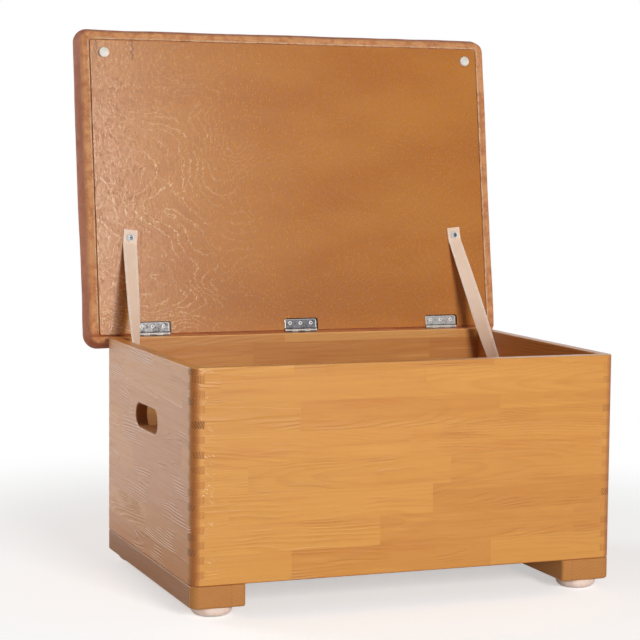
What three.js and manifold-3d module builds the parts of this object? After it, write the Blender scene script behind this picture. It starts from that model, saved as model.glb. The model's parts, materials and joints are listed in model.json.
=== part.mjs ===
// A small vaulting box built as a storage bench: a finger-jointed pine box on two runners, with a
// padded leather lid on three butt hinges. Two leather straps stop the lid just past upright.
// Millimetres, +Z up, the front faces -Y. The lid is modelled closed, in a group turned open on its hinges.
import * as THREE from "three";
import { mergeVertices } from "three/addons/utils/BufferGeometryUtils.js";
import Module from "manifold-3d";

const wasm = await Module();
wasm.setup();

// Clearances
const seat_gap = 0.3; // between two pieces that seat on each other
const overrun = 6; // how far a cutting solid runs past the face that it cuts

// Box walls
const box_width = 720;
const box_depth = 500;
const wall_height = 335;
const wall_thickness = 20;
const corner_radius = 16; // upright corners, seen from above
const rim_round = 2.5; // top and bottom edges of the walls
const finger_count = 29; // fingers in the height of a corner, both walls together
const slot_length = 123; // hand slot in each side wall
const slot_height = 37.5;
const slot_drop = 109; // rim down to the middle of the slot

// Floor panel, held in a groove round the walls
const floor_thickness = 6;
const floor_raise = 13; // bottom of the walls up to the panel
const groove_depth = 6;

// Runners under the side walls
const runner_width = 88;
const runner_height = 35;
const runner_edge = 3.5;
const runner_inner_radius = 5;
const runner_screw_spacing = 300;
const runner_screw = { length: 50, shank: 2, head: 4, head_depth: 2.2 };
const counterbore_depth = 14;

// Round glides that the box stands on
const glide_radius = 33;
const glide_height = 16;
const glide_flat = 22; // radius of the flat that meets the ground
const glide_lip = 4; // straight edge above the domed part
const glide_inset = 38; // front or back face to the glide's middle
const spigot_radius = 4;
const spigot_length = 14;

// Butt hinges
const hinge_width = 60;
const hinge_inset = 84; // side of the box to the middle of an outer hinge
const barrel_radius = 2.75;
const pin_radius = 1.5;
const pin_play = 0.2;
const knuckle_count = 5;
const leaf_thickness = 1.5;
const leaf_reach = 20; // hinge axis to the edge of a leaf
const leaf_screw_spacing = 20;
const leaf_screw_edge = 7; // edge of a leaf to its row of screws
const hinge_setback = 0.35; // back face of the box to the barrel
const hinge_screw = { length: 15, shank: 1.4, head: 3, head_depth: leaf_thickness };

// Padded lid
const open_angle = 98; // degrees from closed, where the straps stop the lid
const panel_thickness = 4;
const panel_side_overhang = 10.5;
const panel_front_overhang = 14.5;
const panel_hinge_gap = 0.6; // hinge axis to the near edge of the panel
const panel_corner = 8;
const leather_border = 17; // edge of the panel to the foot of the cushion's side
const leather_thickness = 2;
const hem_gap = 1; // edge of the panel to the cut edge of the leather
const hem_radius = 5; // fold of the leather under the board
const board_thickness = 18;
const cushion_height = 50; // under the fold up to where the crown starts
const cushion_bulge = 4; // how far the sides swell out beyond the fold
const cushion_crown = 8;
const cushion_edge = 22; // rounding between side and crown
const cushion_corner = 32; // corner radius seen from above
const bumper_radius = 9;
const bumper_side_inset = 13.3; // side of the box to the bumper's middle
const bumper_front_inset = 7.6;
const bumper_round = 1.2;

// Check straps between the side walls and the lid
const strap_width = 25;
const strap_thickness = 2.5;
const strap_tail = 14.5; // screw to the cut end
const strap_flat = 10; // screw to where the strap leaves the wood
const strap_lid_reach = 169.5; // hinge axis to the upper screw, along the lid
const strap_lid_inset = 49; // side of the box to the upper screw
const strap_wall_drop = 87; // rim to the lower screw
const strap_wall_setback = 105; // inside of the back wall to the lower screw
const strap_screw = { length: 17, shank: 2, head: 4, head_depth: 2.2 };
const washer_radius = 7;
const washer_height = 3;
const washer_bevel = 1.5;
const strap_steps = 18;

// Facets
const corner_steps = 4;
const round_facets = 18;
const small_facets = 8;
const barrel_facets = 12;
const dome_steps = 4;
const fold_steps = 2; // the cushion's rings, from its foot to its edge
const swell_steps = 2;
const edge_steps = 3;
const side_steps = [6, 5]; // along the long and the short sides of the cushion

// Places that follow from the sizes
const finger_pitch = wall_height / finger_count;
const runner_bottom = glide_height + seat_gap;
const wall_bottom = runner_bottom + runner_height + seat_gap;
const rim = wall_bottom + wall_height;
const side = box_width / 2;
const front = box_depth / 2;
const pivot_y = front + hinge_setback + barrel_radius;
const pivot_z = rim + seat_gap + barrel_radius;
const leaf_screw_row = leaf_reach - leaf_screw_edge;
const hinge_places = [
  ["left", -side + hinge_inset],
  ["middle", 0],
  ["right", side - hinge_inset],
];

const open_turn = THREE.MathUtils.degToRad(open_angle);
const panel_low = barrel_radius + seat_gap;
const board_low = panel_low + panel_thickness + seat_gap;
const hem_low = board_low - seat_gap - leather_thickness;
const foam_low = board_low + board_thickness + seat_gap;
const cushion_high = hem_low + cushion_height;
const panel_half_x = side + panel_side_overhang;
const panel_half_y = (pivot_y + front + panel_front_overhang - panel_hinge_gap) / 2;
const lid_middle_y = -panel_hinge_gap - panel_half_y;
const cushion_half_x = panel_half_x + leather_border + cushion_bulge;
const cushion_half_y = panel_half_y + leather_border + cushion_bulge;
const bumper_thickness = panel_low + barrel_radius - seat_gap;

// Materials
const finish = (color, roughness, metalness = 0) =>
  new THREE.MeshStandardMaterial({ color, roughness, metalness });
const pine = finish("#d79a58", 0.42);
const runner_pine = finish("#b9753f", 0.45);
const plywood = finish("#b5763f", 0.5);
const board_wood = finish("#c8a77c", 0.8);
const floor_wood = finish("#c48a4e", 0.6);
const cover_leather = finish("#a4613a", 0.5);
const strap_leather = finish("#dfc1a0", 0.7);
const foam = finish("#e6dcc0", 0.95);
const zinc = finish("#b4b4b6", 0.35, 1);
const glide_plastic = finish("#ebe2d8", 0.5);

// Solids and geometry
function solid(geometry) {
  const bare = geometry.index ? geometry.toNonIndexed() : geometry.clone();
  bare.deleteAttribute("normal");
  bare.deleteAttribute("uv");
  const merged = mergeVertices(bare);
  return new wasm.Manifold(
    new wasm.Mesh({
      numProp: 3,
      vertProperties: merged.attributes.position.array,
      triVerts: new Uint32Array(merged.index.array),
    }),
  );
}

function geometryOf(shape) {
  const { vertProperties, triVerts } = shape.getMesh();
  const geometry = new THREE.BufferGeometry();
  geometry.setAttribute("position", new THREE.BufferAttribute(vertProperties, 3));
  geometry.setIndex(new THREE.BufferAttribute(triVerts, 1));
  geometry.computeVertexNormals();
  return geometry;
}

const joined = (solids) => solids.reduce((sum, each) => sum.add(each));

const cutBy = (body, cutters) => (cutters.length ? body.subtract(joined(cutters)) : body);

// A box between two corners.
function block(low, high) {
  const size = high.map((value, axis) => value - low[axis]);
  const middle = high.map((value, axis) => (value + low[axis]) / 2);
  return new THREE.BoxGeometry(...size).translate(...middle);
}

// A profile of (radius, height) points turned round +Z.
function turned(points, facets) {
  const profile = points.map(([radius, height]) => new THREE.Vector2(radius, height));
  return new THREE.LatheGeometry(profile, facets).rotateX(Math.PI / 2);
}

// A round bar along +Z from z = low to z = high.
const bar = (radius, low, high, facets) =>
  turned(
    [
      [0, low],
      [radius, low],
      [radius, high],
      [0, high],
    ],
    facets,
  );

// A rectangle between two corners; radii start at the low x, low y corner and go round anticlockwise.
function roundedShape([x0, y0], [x1, y1], radii) {
  const [a, b, c, d] = radii;
  const quarter = Math.PI / 2;
  const shape = new THREE.Shape();
  shape.absarc(x0 + a, y0 + a, a, 2 * quarter, 3 * quarter, false);
  shape.absarc(x1 - b, y0 + b, b, 3 * quarter, 4 * quarter, false);
  shape.absarc(x1 - c, y1 - c, c, 0, quarter, false);
  shape.absarc(x0 + d, y1 - d, d, quarter, 2 * quarter, false);
  shape.closePath();
  return shape;
}

// The shape raised from z = 0, with its upper and lower edges rounded by edge. A quarter arc of a
// shape gets two facets for each curve segment.
function raised(shape, height, edge) {
  return new THREE.ExtrudeGeometry(shape, {
    depth: height - 2 * edge,
    curveSegments: corner_steps / 2,
    bevelEnabled: edge > 0,
    bevelThickness: edge,
    bevelSize: edge,
    bevelOffset: -edge,
    bevelSegments: 1,
  }).translate(0, 0, edge);
}

const centred = (half_x, half_y, radius) =>
  roundedShape([-half_x, -half_y], [half_x, half_y], [radius, radius, radius, radius]);

function mesh(name, geometry, material, place = [0, 0, 0], turn = [0, 0, 0]) {
  const made = new THREE.Mesh(geometry, material);
  made.name = name;
  made.position.set(...place);
  made.rotation.set(...turn);
  return made;
}

// Where a piece of geometry goes: turned first, then moved.
const placed = (geometry, place, turn = [0, 0, 0]) =>
  geometry
    .clone()
    .applyMatrix4(new THREE.Matrix4().makeRotationFromEuler(new THREE.Euler(...turn)))
    .translate(...place);

// A countersunk wood screw pointing along -Z, its head flush with z = 0.
function screwBody({ length, shank, head, head_depth }) {
  return turned(
    [
      [0, -length],
      [shank, 2 * shank - length],
      [shank, -head_depth],
      [head, 0],
      [0, 0],
    ],
    small_facets,
  );
}

// The hole that the screw above sits in, open above z = 0.
function screwHole({ length, shank, head, head_depth }) {
  return turned(
    [
      [0, -length - seat_gap],
      [shank + seat_gap, -length - seat_gap],
      [shank + seat_gap, -head_depth],
      [head + seat_gap, 0],
      [head + seat_gap, overrun],
      [0, overrun],
    ],
    small_facets,
  );
}

const shankHole = ({ length, shank }) =>
  bar(shank + seat_gap, -length - seat_gap, overrun, small_facets);

// Screws through the hinge leaves, in the frame of a hinge.
const leaf_screw_places = [-1, 0, 1].map((step) => step * leaf_screw_spacing);
const leaf_face = barrel_radius - leaf_thickness;
const into_lid = [Math.PI, 0, 0]; // turns a screw that points down
const into_back = [-Math.PI / 2, 0, 0];

// Straps, worked out before the wood that their screws go into
const lidTurn = new THREE.Matrix4().makeRotationX(-open_turn);
const onLid = (x, y, z) =>
  new THREE.Vector3(x, y, z).applyMatrix4(lidTurn).add(new THREE.Vector3(0, pivot_y, pivot_z));
const strap_offset = seat_gap + strap_thickness / 2;
const strap_lid_z = panel_low - strap_offset;
const wall_inside = side - wall_thickness;
const strap_wall_y = front - wall_thickness - strap_wall_setback;
const strap_wall_z = rim - strap_wall_drop;

// The strap's course on one hand (-1 left, 1 right): points, and the way its face looks at each.
function strapCourse(hand) {
  const lower = new THREE.Vector3(hand * (wall_inside - strap_offset), strap_wall_y, strap_wall_z);
  const upper = onLid(hand * (side - strap_lid_inset), -strap_lid_reach, strap_lid_z);
  const wall_face = new THREE.Vector3(-hand, 0, 0);
  const lid_face = new THREE.Vector3(0, 0, -1).transformDirection(lidTurn);
  const straight = upper.clone().sub(lower).normalize();
  const up_wall = straight.clone().projectOnPlane(wall_face).normalize();
  const up_lid = straight.clone().projectOnPlane(lid_face).normalize();
  const along = (from, direction, length) => from.clone().addScaledVector(direction, length);
  const leave = along(lower, up_wall, strap_flat);
  const land = along(upper, up_lid, -strap_flat);
  const course = [{ point: along(lower, up_wall, -strap_tail), face: wall_face, way: up_wall }];
  for (let step = 0; step <= strap_steps; step += 1) {
    const share = step / strap_steps;
    course.push({
      point: leave.clone().lerp(land, share),
      face: wall_face.clone().lerp(lid_face, share),
      way: step === 0 ? up_wall : straight,
    });
  }
  course.at(-1).way = up_lid;
  course.push({ point: along(upper, up_lid, strap_tail), face: lid_face, way: up_lid });
  return { course, lower };
}

// Four corners of the strap at each point of its course, joined into a closed band.
function strapBody(course) {
  const corners = course.flatMap(({ point, face, way }) => {
    const across = way.clone().cross(face).normalize();
    const out = across.clone().cross(way).normalize();
    return [
      [-1, -1],
      [1, -1],
      [1, 1],
      [-1, 1],
    ].map(([w, t]) =>
      point
        .clone()
        .addScaledVector(across, (w * strap_width) / 2)
        .addScaledVector(out, (t * strap_thickness) / 2),
    );
  });
  const faces = [0, 1, 2, 0, 2, 3];
  for (let ring = 0; ring + 1 < course.length; ring += 1)
    for (let corner = 0; corner < 4; corner += 1) {
      const a = 4 * ring + corner;
      const b = 4 * ring + ((corner + 1) % 4);
      faces.push(a, a + 4, b + 4, a, b + 4, b);
    }
  const last = 4 * (course.length - 1);
  faces.push(last, last + 2, last + 1, last, last + 3, last + 2);
  const geometry = new THREE.BufferGeometry().setFromPoints(corners);
  geometry.setIndex(faces);
  return geometry;
}

// Box
const model = new THREE.Group();
const envelope = solid(
  raised(centred(side, front, corner_radius), wall_height, rim_round).translate(0, 0, wall_bottom),
);
const groove_x = wall_inside + groove_depth;
const groove_y = front - wall_thickness + groove_depth;
const floor_low = wall_bottom + floor_raise;
const floor_high = floor_low + floor_thickness;
const groove_cut = solid(
  block([-groove_x, -groove_y, floor_low - seat_gap], [groove_x, groove_y, floor_high + seat_gap]),
);

// Where the corner joints are cut, seen from above
const past_x = side + overrun;
const past_y = front + overrun;
const shoulder_x = wall_inside - seat_gap;
const shoulder_y = front - wall_thickness - seat_gap;

// The room for the other wall's fingers at both ends of a wall, over the two plans. first is 0
// where the other wall has the lowest and the highest finger, and 1 where this wall has them.
function fingerRooms(first, plans) {
  const rooms = [];
  for (let finger = first; finger < finger_count; finger += 2) {
    const below = finger === 0 ? overrun : seat_gap / 2;
    const above = finger === finger_count - 1 ? overrun : seat_gap / 2;
    const z0 = wall_bottom + finger * finger_pitch - below;
    const z1 = wall_bottom + (finger + 1) * finger_pitch + above;
    for (const [low, high] of plans) rooms.push(solid(block([...low, z0], [...high, z1])));
  }
  return rooms;
}

const front_back_rooms = fingerRooms(1, [
  [
    [-past_x, -past_y],
    [-shoulder_x, past_y],
  ],
  [
    [shoulder_x, -past_y],
    [past_x, past_y],
  ],
]);
const side_rooms = fingerRooms(0, [
  [
    [-past_x, -past_y],
    [past_x, -shoulder_y],
  ],
  [
    [-past_x, shoulder_y],
    [past_x, past_y],
  ],
]);

// The part of the box's rounded outline over a plan between two corners.
const slab = (low, high) =>
  envelope.intersect(solid(block([...low, wall_bottom - overrun], [...high, rim + overrun])));

const hinge_holes = hinge_places.flatMap(([, x]) =>
  leaf_screw_places.map((step) => {
    const place = [x + step, pivot_y - leaf_face, pivot_z - leaf_screw_row];
    return solid(placed(shankHole(hinge_screw), place, into_back));
  }),
);

const front_wall = cutBy(
  slab([-past_x, -past_y], [past_x, -front + wall_thickness]),
  [...front_back_rooms, groove_cut],
);
const back_wall = cutBy(
  slab([-past_x, front - wall_thickness], [past_x, past_y]),
  [...front_back_rooms, groove_cut, ...hinge_holes],
);
model.add(mesh("front_wall", geometryOf(front_wall), pine));
model.add(mesh("back_wall", geometryOf(back_wall), pine));

const slot_round = slot_height / 2;
const slot_cut = raised(
  centred(slot_length / 2, slot_round, slot_round),
  wall_thickness + overrun + overrun,
  0,
)
  .rotateX(Math.PI / 2)
  .rotateZ(Math.PI / 2)
  .translate(-past_x, 0, rim - slot_drop);

const floor_panel = block(
  [seat_gap - groove_x, seat_gap - groove_y, floor_low],
  [groove_x - seat_gap, groove_y - seat_gap, floor_high],
);
model.add(mesh("floor_panel", floor_panel, floor_wood));

// Side walls, runners, glides and straps, a set for each hand
const spigot_hole = bar(spigot_radius + seat_gap, -overrun, spigot_length, round_facets);

function glideBody() {
  const dome = [];
  for (let step = 0; step <= dome_steps; step += 1) {
    const turn = (step / dome_steps) * (Math.PI / 2);
    dome.push([
      glide_flat + (glide_radius - glide_flat) * Math.sin(turn),
      (glide_height - glide_lip) * (1 - Math.cos(turn)),
    ]);
  }
  return turned(
    [
      [0, 0],
      ...dome,
      [glide_radius, glide_height],
      [spigot_radius, glide_height],
      [spigot_radius, glide_height + spigot_length],
      [0, glide_height + spigot_length],
    ],
    round_facets,
  );
}

function washerBody() {
  return turned(
    [
      [strap_screw.shank + seat_gap, 0],
      [washer_radius, 0],
      [washer_radius - washer_bevel, washer_height],
      [strap_screw.head + seat_gap, washer_height],
      [strap_screw.shank + seat_gap, washer_height - strap_screw.head_depth],
      [strap_screw.shank + seat_gap, 0],
    ],
    small_facets,
  );
}

const strap_screw_lift = strap_thickness / 2 + seat_gap + washer_height;
const lidScrewPlace = (hand) => [
  hand * (side - strap_lid_inset),
  -strap_lid_reach,
  strap_lid_z - strap_screw_lift,
];
const lid_group = new THREE.Group();
lid_group.position.set(0, pivot_y, pivot_z);
lid_group.rotation.x = -open_turn;

for (const [name, hand] of [
  ["left", -1],
  ["right", 1],
]) {
  const { course, lower } = strapCourse(hand);
  const wall_turn = [0, (-hand * Math.PI) / 2, 0];
  const lower_screw_place = [lower.x - hand * strap_screw_lift, lower.y, lower.z];
  const wall_x = [hand * past_x, hand * wall_inside].sort((a, b) => a - b);
  const runner_screws = [-1, 1].map((end) => [
    hand * (side - (wall_thickness - groove_depth) / 2),
    (end * runner_screw_spacing) / 2,
    runner_bottom + counterbore_depth,
  ]);

  // The screws point up, so their holes are turned over.
  const upright = [Math.PI, 0, 0];
  const wall = cutBy(slab([wall_x[0], -past_y], [wall_x[1], past_y]), [
    ...side_rooms,
    groove_cut,
    solid(hand < 0 ? slot_cut : placed(slot_cut, [box_width - wall_thickness, 0, 0])),
    solid(placed(shankHole(strap_screw), lower_screw_place, wall_turn)),
    ...runner_screws.map((place) => solid(placed(shankHole(runner_screw), place, upright))),
  ]);
  model.add(mesh(`${name}_wall`, geometryOf(wall), pine));

  const inner_x = hand * (side - runner_width);
  const outer_x = hand * side;
  const round_outer = [corner_radius, runner_inner_radius];
  const [low_round, high_round] = hand < 0 ? round_outer : [...round_outer].reverse();
  const runner_shape = roundedShape(
    [Math.min(inner_x, outer_x), -front],
    [Math.max(inner_x, outer_x), front],
    [low_round, high_round, high_round, low_round],
  );
  const glide_places = [
    ["front", -front + glide_inset],
    ["rear", front - glide_inset],
  ].map(([end, y]) => [end, [hand * (side - runner_width / 2), y, 0]]);
  const counterbore = bar(
    runner_screw.head + seat_gap,
    -overrun,
    counterbore_depth,
    small_facets,
  );
  const runner = cutBy(
    solid(raised(runner_shape, runner_height, runner_edge).translate(0, 0, runner_bottom)),
    [
      ...glide_places.map(([, [x, y]]) => solid(placed(spigot_hole, [x, y, runner_bottom]))),
      ...runner_screws.flatMap(([x, y, z]) => [
        solid(placed(counterbore, [x, y, runner_bottom])),
        solid(placed(screwHole(runner_screw), [x, y, z], upright)),
      ]),
    ],
  );
  model.add(mesh(`${name}_runner`, geometryOf(runner), runner_pine));

  ["front", "rear"].forEach((end, i) => {
    model.add(
      mesh(`${name}_runner_screw_${end}`, screwBody(runner_screw), zinc, runner_screws[i], upright),
    );
  });
  for (const [end, place] of glide_places)
    model.add(mesh(`${end}_${name}_glide`, glideBody(), glide_plastic, place));

  // Strap with its screws: the lower one goes into the wall, the upper one into the lid.
  const upper_on_lid = lidScrewPlace(hand);
  const upper_turn = new THREE.Euler().setFromRotationMatrix(
    new THREE.Matrix4().makeRotationX(Math.PI - open_turn),
  );
  const strap = cutBy(solid(strapBody(course)), [
    solid(placed(shankHole(strap_screw), lower_screw_place, wall_turn)),
    solid(
      placed(
        shankHole(strap_screw),
        onLid(...upper_on_lid).toArray(),
        upper_turn.toArray().slice(0, 3),
      ),
    ),
  ]);
  model.add(mesh(`${name}_strap`, geometryOf(strap), strap_leather));
  model.add(
    mesh(`${name}_strap_wall_screw`, screwBody(strap_screw), zinc, lower_screw_place, wall_turn),
  );
  const lower_washer_place = [lower.x - hand * (strap_thickness / 2 + seat_gap), lower.y, lower.z];
  model.add(mesh(`${name}_strap_wall_washer`, washerBody(), zinc, lower_washer_place, wall_turn));
  lid_group.add(
    mesh(`${name}_strap_lid_screw`, screwBody(strap_screw), zinc, upper_on_lid, upright),
  );
  const upper_washer_place = [upper_on_lid[0], upper_on_lid[1], upper_on_lid[2] + washer_height];
  lid_group.add(
    mesh(`${name}_strap_lid_washer`, washerBody(), zinc, upper_washer_place, upright),
  );
}

// Hinges. A leaf is made as it lies under the closed lid.
function hingeLeaf(first_knuckle) {
  const half = hinge_width / 2;
  const knuckle = hinge_width / knuckle_count;
  const along_x = [0, Math.PI / 2, 0];
  const plate = solid(block([-half, -leaf_reach, leaf_face], [half, 0, barrel_radius]));
  const barrel = solid(placed(bar(barrel_radius, -half, half, barrel_facets), [0, 0, 0], along_x));
  const room = barrel_radius + seat_gap;
  const gaps = [];
  for (let i = first_knuckle; i < knuckle_count; i += 2) {
    const ends = [i === 0 ? overrun : seat_gap / 2, i === knuckle_count - 1 ? overrun : seat_gap / 2];
    gaps.push(
      solid(
        block(
          [i * knuckle - half - ends[0], -room, -room],
          [(i + 1) * knuckle - half + ends[1], room, room],
        ),
      ),
    );
  }
  const pin_room = bar(pin_radius + pin_play, -half - overrun, half + overrun, small_facets);
  const bore = placed(pin_room, [0, 0, 0], along_x);
  const screws = leaf_screw_places.map((x) =>
    solid(placed(screwHole(hinge_screw), [x, -leaf_screw_row, leaf_face], into_lid)),
  );
  return cutBy(plate.add(barrel), [...gaps, solid(bore), ...screws]);
}

// The leaf on the box hangs down the back wall's outer face.
const box_leaf = geometryOf(hingeLeaf(1));
const lid_leaf = geometryOf(hingeLeaf(0));
const hanging = [Math.PI / 2, 0, 0];
const pin = bar(pin_radius, -hinge_width / 2, hinge_width / 2, small_facets);
for (const [name, x] of hinge_places) {
  model.add(mesh(`${name}_hinge_box_leaf`, box_leaf, zinc, [x, pivot_y, pivot_z], hanging));
  model.add(mesh(`${name}_hinge_pin`, pin, zinc, [x, pivot_y, pivot_z], [0, Math.PI / 2, 0]));
  lid_group.add(mesh(`${name}_hinge_lid_leaf`, lid_leaf, zinc, [x, 0, 0]));
  leaf_screw_places.forEach((step, i) => {
    const body = screwBody(hinge_screw);
    const on_box = [x + step, pivot_y - leaf_face, pivot_z - leaf_screw_row];
    model.add(mesh(`${name}_hinge_box_screw_${i + 1}`, body, zinc, on_box, into_back));
    const on_lid = [x + step, -leaf_screw_row, leaf_face];
    lid_group.add(mesh(`${name}_hinge_lid_screw_${i + 1}`, body, zinc, on_lid, into_lid));
  });
}

// Lid: plywood panel, board, foam and leather cover
const lid_screw_holes = [
  ...hinge_places.flatMap(([, x]) =>
    leaf_screw_places.map((step) =>
      placed(shankHole(hinge_screw), [x + step, -leaf_screw_row, leaf_face], into_lid),
    ),
  ),
  ...[-1, 1].map((hand) => placed(shankHole(strap_screw), lidScrewPlace(hand), into_lid)),
].map(solid);

const panel = raised(centred(panel_half_x, panel_half_y, panel_corner), panel_thickness, 0);
lid_group.add(
  mesh(
    "lid_panel",
    geometryOf(cutBy(solid(panel.translate(0, lid_middle_y, panel_low)), lid_screw_holes)),
    plywood,
  ),
);

const board_inset = cushion_bulge + leather_thickness + seat_gap;
const board_edge = hem_radius - leather_thickness;
const board = raised(
  centred(cushion_half_x - board_inset, cushion_half_y - board_inset, cushion_corner - board_inset),
  board_thickness,
  board_edge,
);
lid_group.add(
  mesh(
    "lid_board",
    geometryOf(cutBy(solid(board.translate(0, lid_middle_y, board_low)), lid_screw_holes)),
    board_wood,
  ),
);

// One level ring of the cushion: a rounded rectangle with points along its sides too.
function ring(half_x, half_y, radius, z) {
  const centre = [half_x - radius, half_y - radius];
  const points = [];
  for (let corner = 0; corner < 4; corner += 1) {
    const sign_x = corner === 0 || corner === 3 ? 1 : -1;
    const sign_y = corner < 2 ? 1 : -1;
    for (let step = 0; step <= corner_steps; step += 1) {
      const turn = (corner + step / corner_steps) * (Math.PI / 2);
      points.push([
        sign_x * centre[0] + radius * Math.cos(turn),
        sign_y * centre[1] + radius * Math.sin(turn),
      ]);
    }
    const along_x = corner % 2 === 0;
    const next_x = along_x ? -sign_x * centre[0] : sign_x * half_x;
    const next_y = along_x ? sign_y * half_y : -sign_y * centre[1];
    const steps = side_steps[corner % 2];
    const from = points.at(-1);
    for (let step = 1; step < steps; step += 1) {
      const share = step / steps;
      points.push([
        from[0] + (next_x - from[0]) * share,
        from[1] + (next_y - from[1]) * share,
      ]);
    }
  }
  return points.map(([x, y]) => new THREE.Vector3(x, y + lid_middle_y, z));
}

// Rings up the cushion's outside, taken in by offset: the fold at the foot, the swelling side,
// the rounded edge and the crown.
const crown_shares = [
  { reach: 0.84, roundness: 0.3 },
  { reach: 0.58, roundness: 0.65 },
  { reach: 0.28, roundness: 0.95 },
];
function cushionRings(offset, with_fold) {
  const inset = (depth, z) =>
    ring(cushion_half_x - depth, cushion_half_y - depth, cushion_corner - depth, z);
  const rings = [];
  const fold = hem_radius - offset;
  if (with_fold)
    for (let step = 0; step <= fold_steps; step += 1) {
      const turn = (step / fold_steps) * (Math.PI / 2);
      rings.push(
        inset(
          cushion_bulge + hem_radius - fold * Math.sin(turn),
          hem_low + hem_radius - fold * Math.cos(turn),
        ),
      );
    }
  const swell_low = with_fold ? hem_low + hem_radius : foam_low;
  const swell_high = cushion_high - cushion_edge;
  for (let step = with_fold ? 1 : 0; step <= swell_steps; step += 1) {
    const share = step / swell_steps;
    rings.push(
      inset(
        offset + cushion_bulge * (1 - Math.sin((share * Math.PI) / 2)),
        swell_low + (swell_high - swell_low) * share,
      ),
    );
  }
  const edge = cushion_edge - offset;
  for (let step = 1; step <= edge_steps; step += 1) {
    const turn = (step / edge_steps) * (Math.PI / 2);
    rings.push(
      inset(cushion_edge - edge * Math.cos(turn), swell_high + edge * Math.sin(turn)),
    );
  }
  for (const { reach, roundness } of crown_shares) {
    const half_y = (cushion_half_y - cushion_edge) * reach;
    rings.push(
      ring(
        (cushion_half_x - cushion_edge) * reach,
        half_y,
        half_y * roundness,
        cushion_high - offset + cushion_crown * (1 - reach * reach),
      ),
    );
  }
  return rings;
}

const crownTop = (offset) => new THREE.Vector3(0, lid_middle_y, cushion_high + cushion_crown - offset);

// Joins a start point, rings and an end point into one closed surface.
function ringBody(start, rings, end) {
  const count = rings[0].length;
  const points = [start, ...rings.flat(), end];
  const faces = [];
  for (let i = 0; i < count; i += 1) {
    const j = (i + 1) % count;
    faces.push(0, 1 + j, 1 + i);
    for (let level = 0; level + 1 < rings.length; level += 1) {
      const a = 1 + level * count;
      faces.push(a + i, a + j, a + count + j, a + i, a + count + j, a + count + i);
    }
    const last = 1 + (rings.length - 1) * count;
    faces.push(last + i, last + j, points.length - 1);
  }
  const geometry = new THREE.BufferGeometry().setFromPoints(points);
  geometry.setIndex(faces);
  return geometry;
}

const mouth = (z) =>
  ring(panel_half_x + hem_gap, panel_half_y + hem_gap, panel_corner + hem_gap, z);
const leather_cover = ringBody(
  crownTop(leather_thickness),
  [
    ...cushionRings(leather_thickness, true).reverse(),
    mouth(hem_low + leather_thickness),
    mouth(hem_low),
    ...cushionRings(0, true),
  ],
  crownTop(0),
);
lid_group.add(mesh("leather_cover", leather_cover, cover_leather));

const foam_inset = leather_thickness + seat_gap;
const foam_pad = ringBody(
  new THREE.Vector3(0, lid_middle_y, foam_low),
  cushionRings(foam_inset, false),
  crownTop(foam_inset),
);
lid_group.add(mesh("foam_pad", foam_pad, foam));

const bumper = turned(
  [
    [0, 0],
    [bumper_radius - bumper_round, 0],
    [bumper_radius, bumper_round],
    [bumper_radius, bumper_thickness],
    [0, bumper_thickness],
  ],
  round_facets,
);
for (const [name, hand] of [
  ["left", -1],
  ["right", 1],
])
  lid_group.add(
    mesh(`${name}_bumper`, bumper, glide_plastic, [
      hand * (side - bumper_side_inset),
      bumper_front_inset - pivot_y - front,
      -barrel_radius,
    ]),
  );

model.add(lid_group);

// The origin is on the ground, under the middle of the whole open object.
const bounds = new THREE.Box3().setFromObject(model, true);
model.position.set(0, -(bounds.min.y + bounds.max.y) / 2, 0);

export default model;
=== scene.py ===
"""The looks of a small vaulting box: a finger-jointed pine box on two runners, whose padded
leather lid stands open on its straps. Lengths are in metres, in the frame of the CAD part."""

from __future__ import annotations

import json
import logging
import math
from collections.abc import Callable, Iterable, Sequence
from dataclasses import dataclass
from enum import Enum
from functools import reduce

import bmesh
import bpy
import numpy as np
from mathutils import Matrix, Vector, noise

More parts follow.
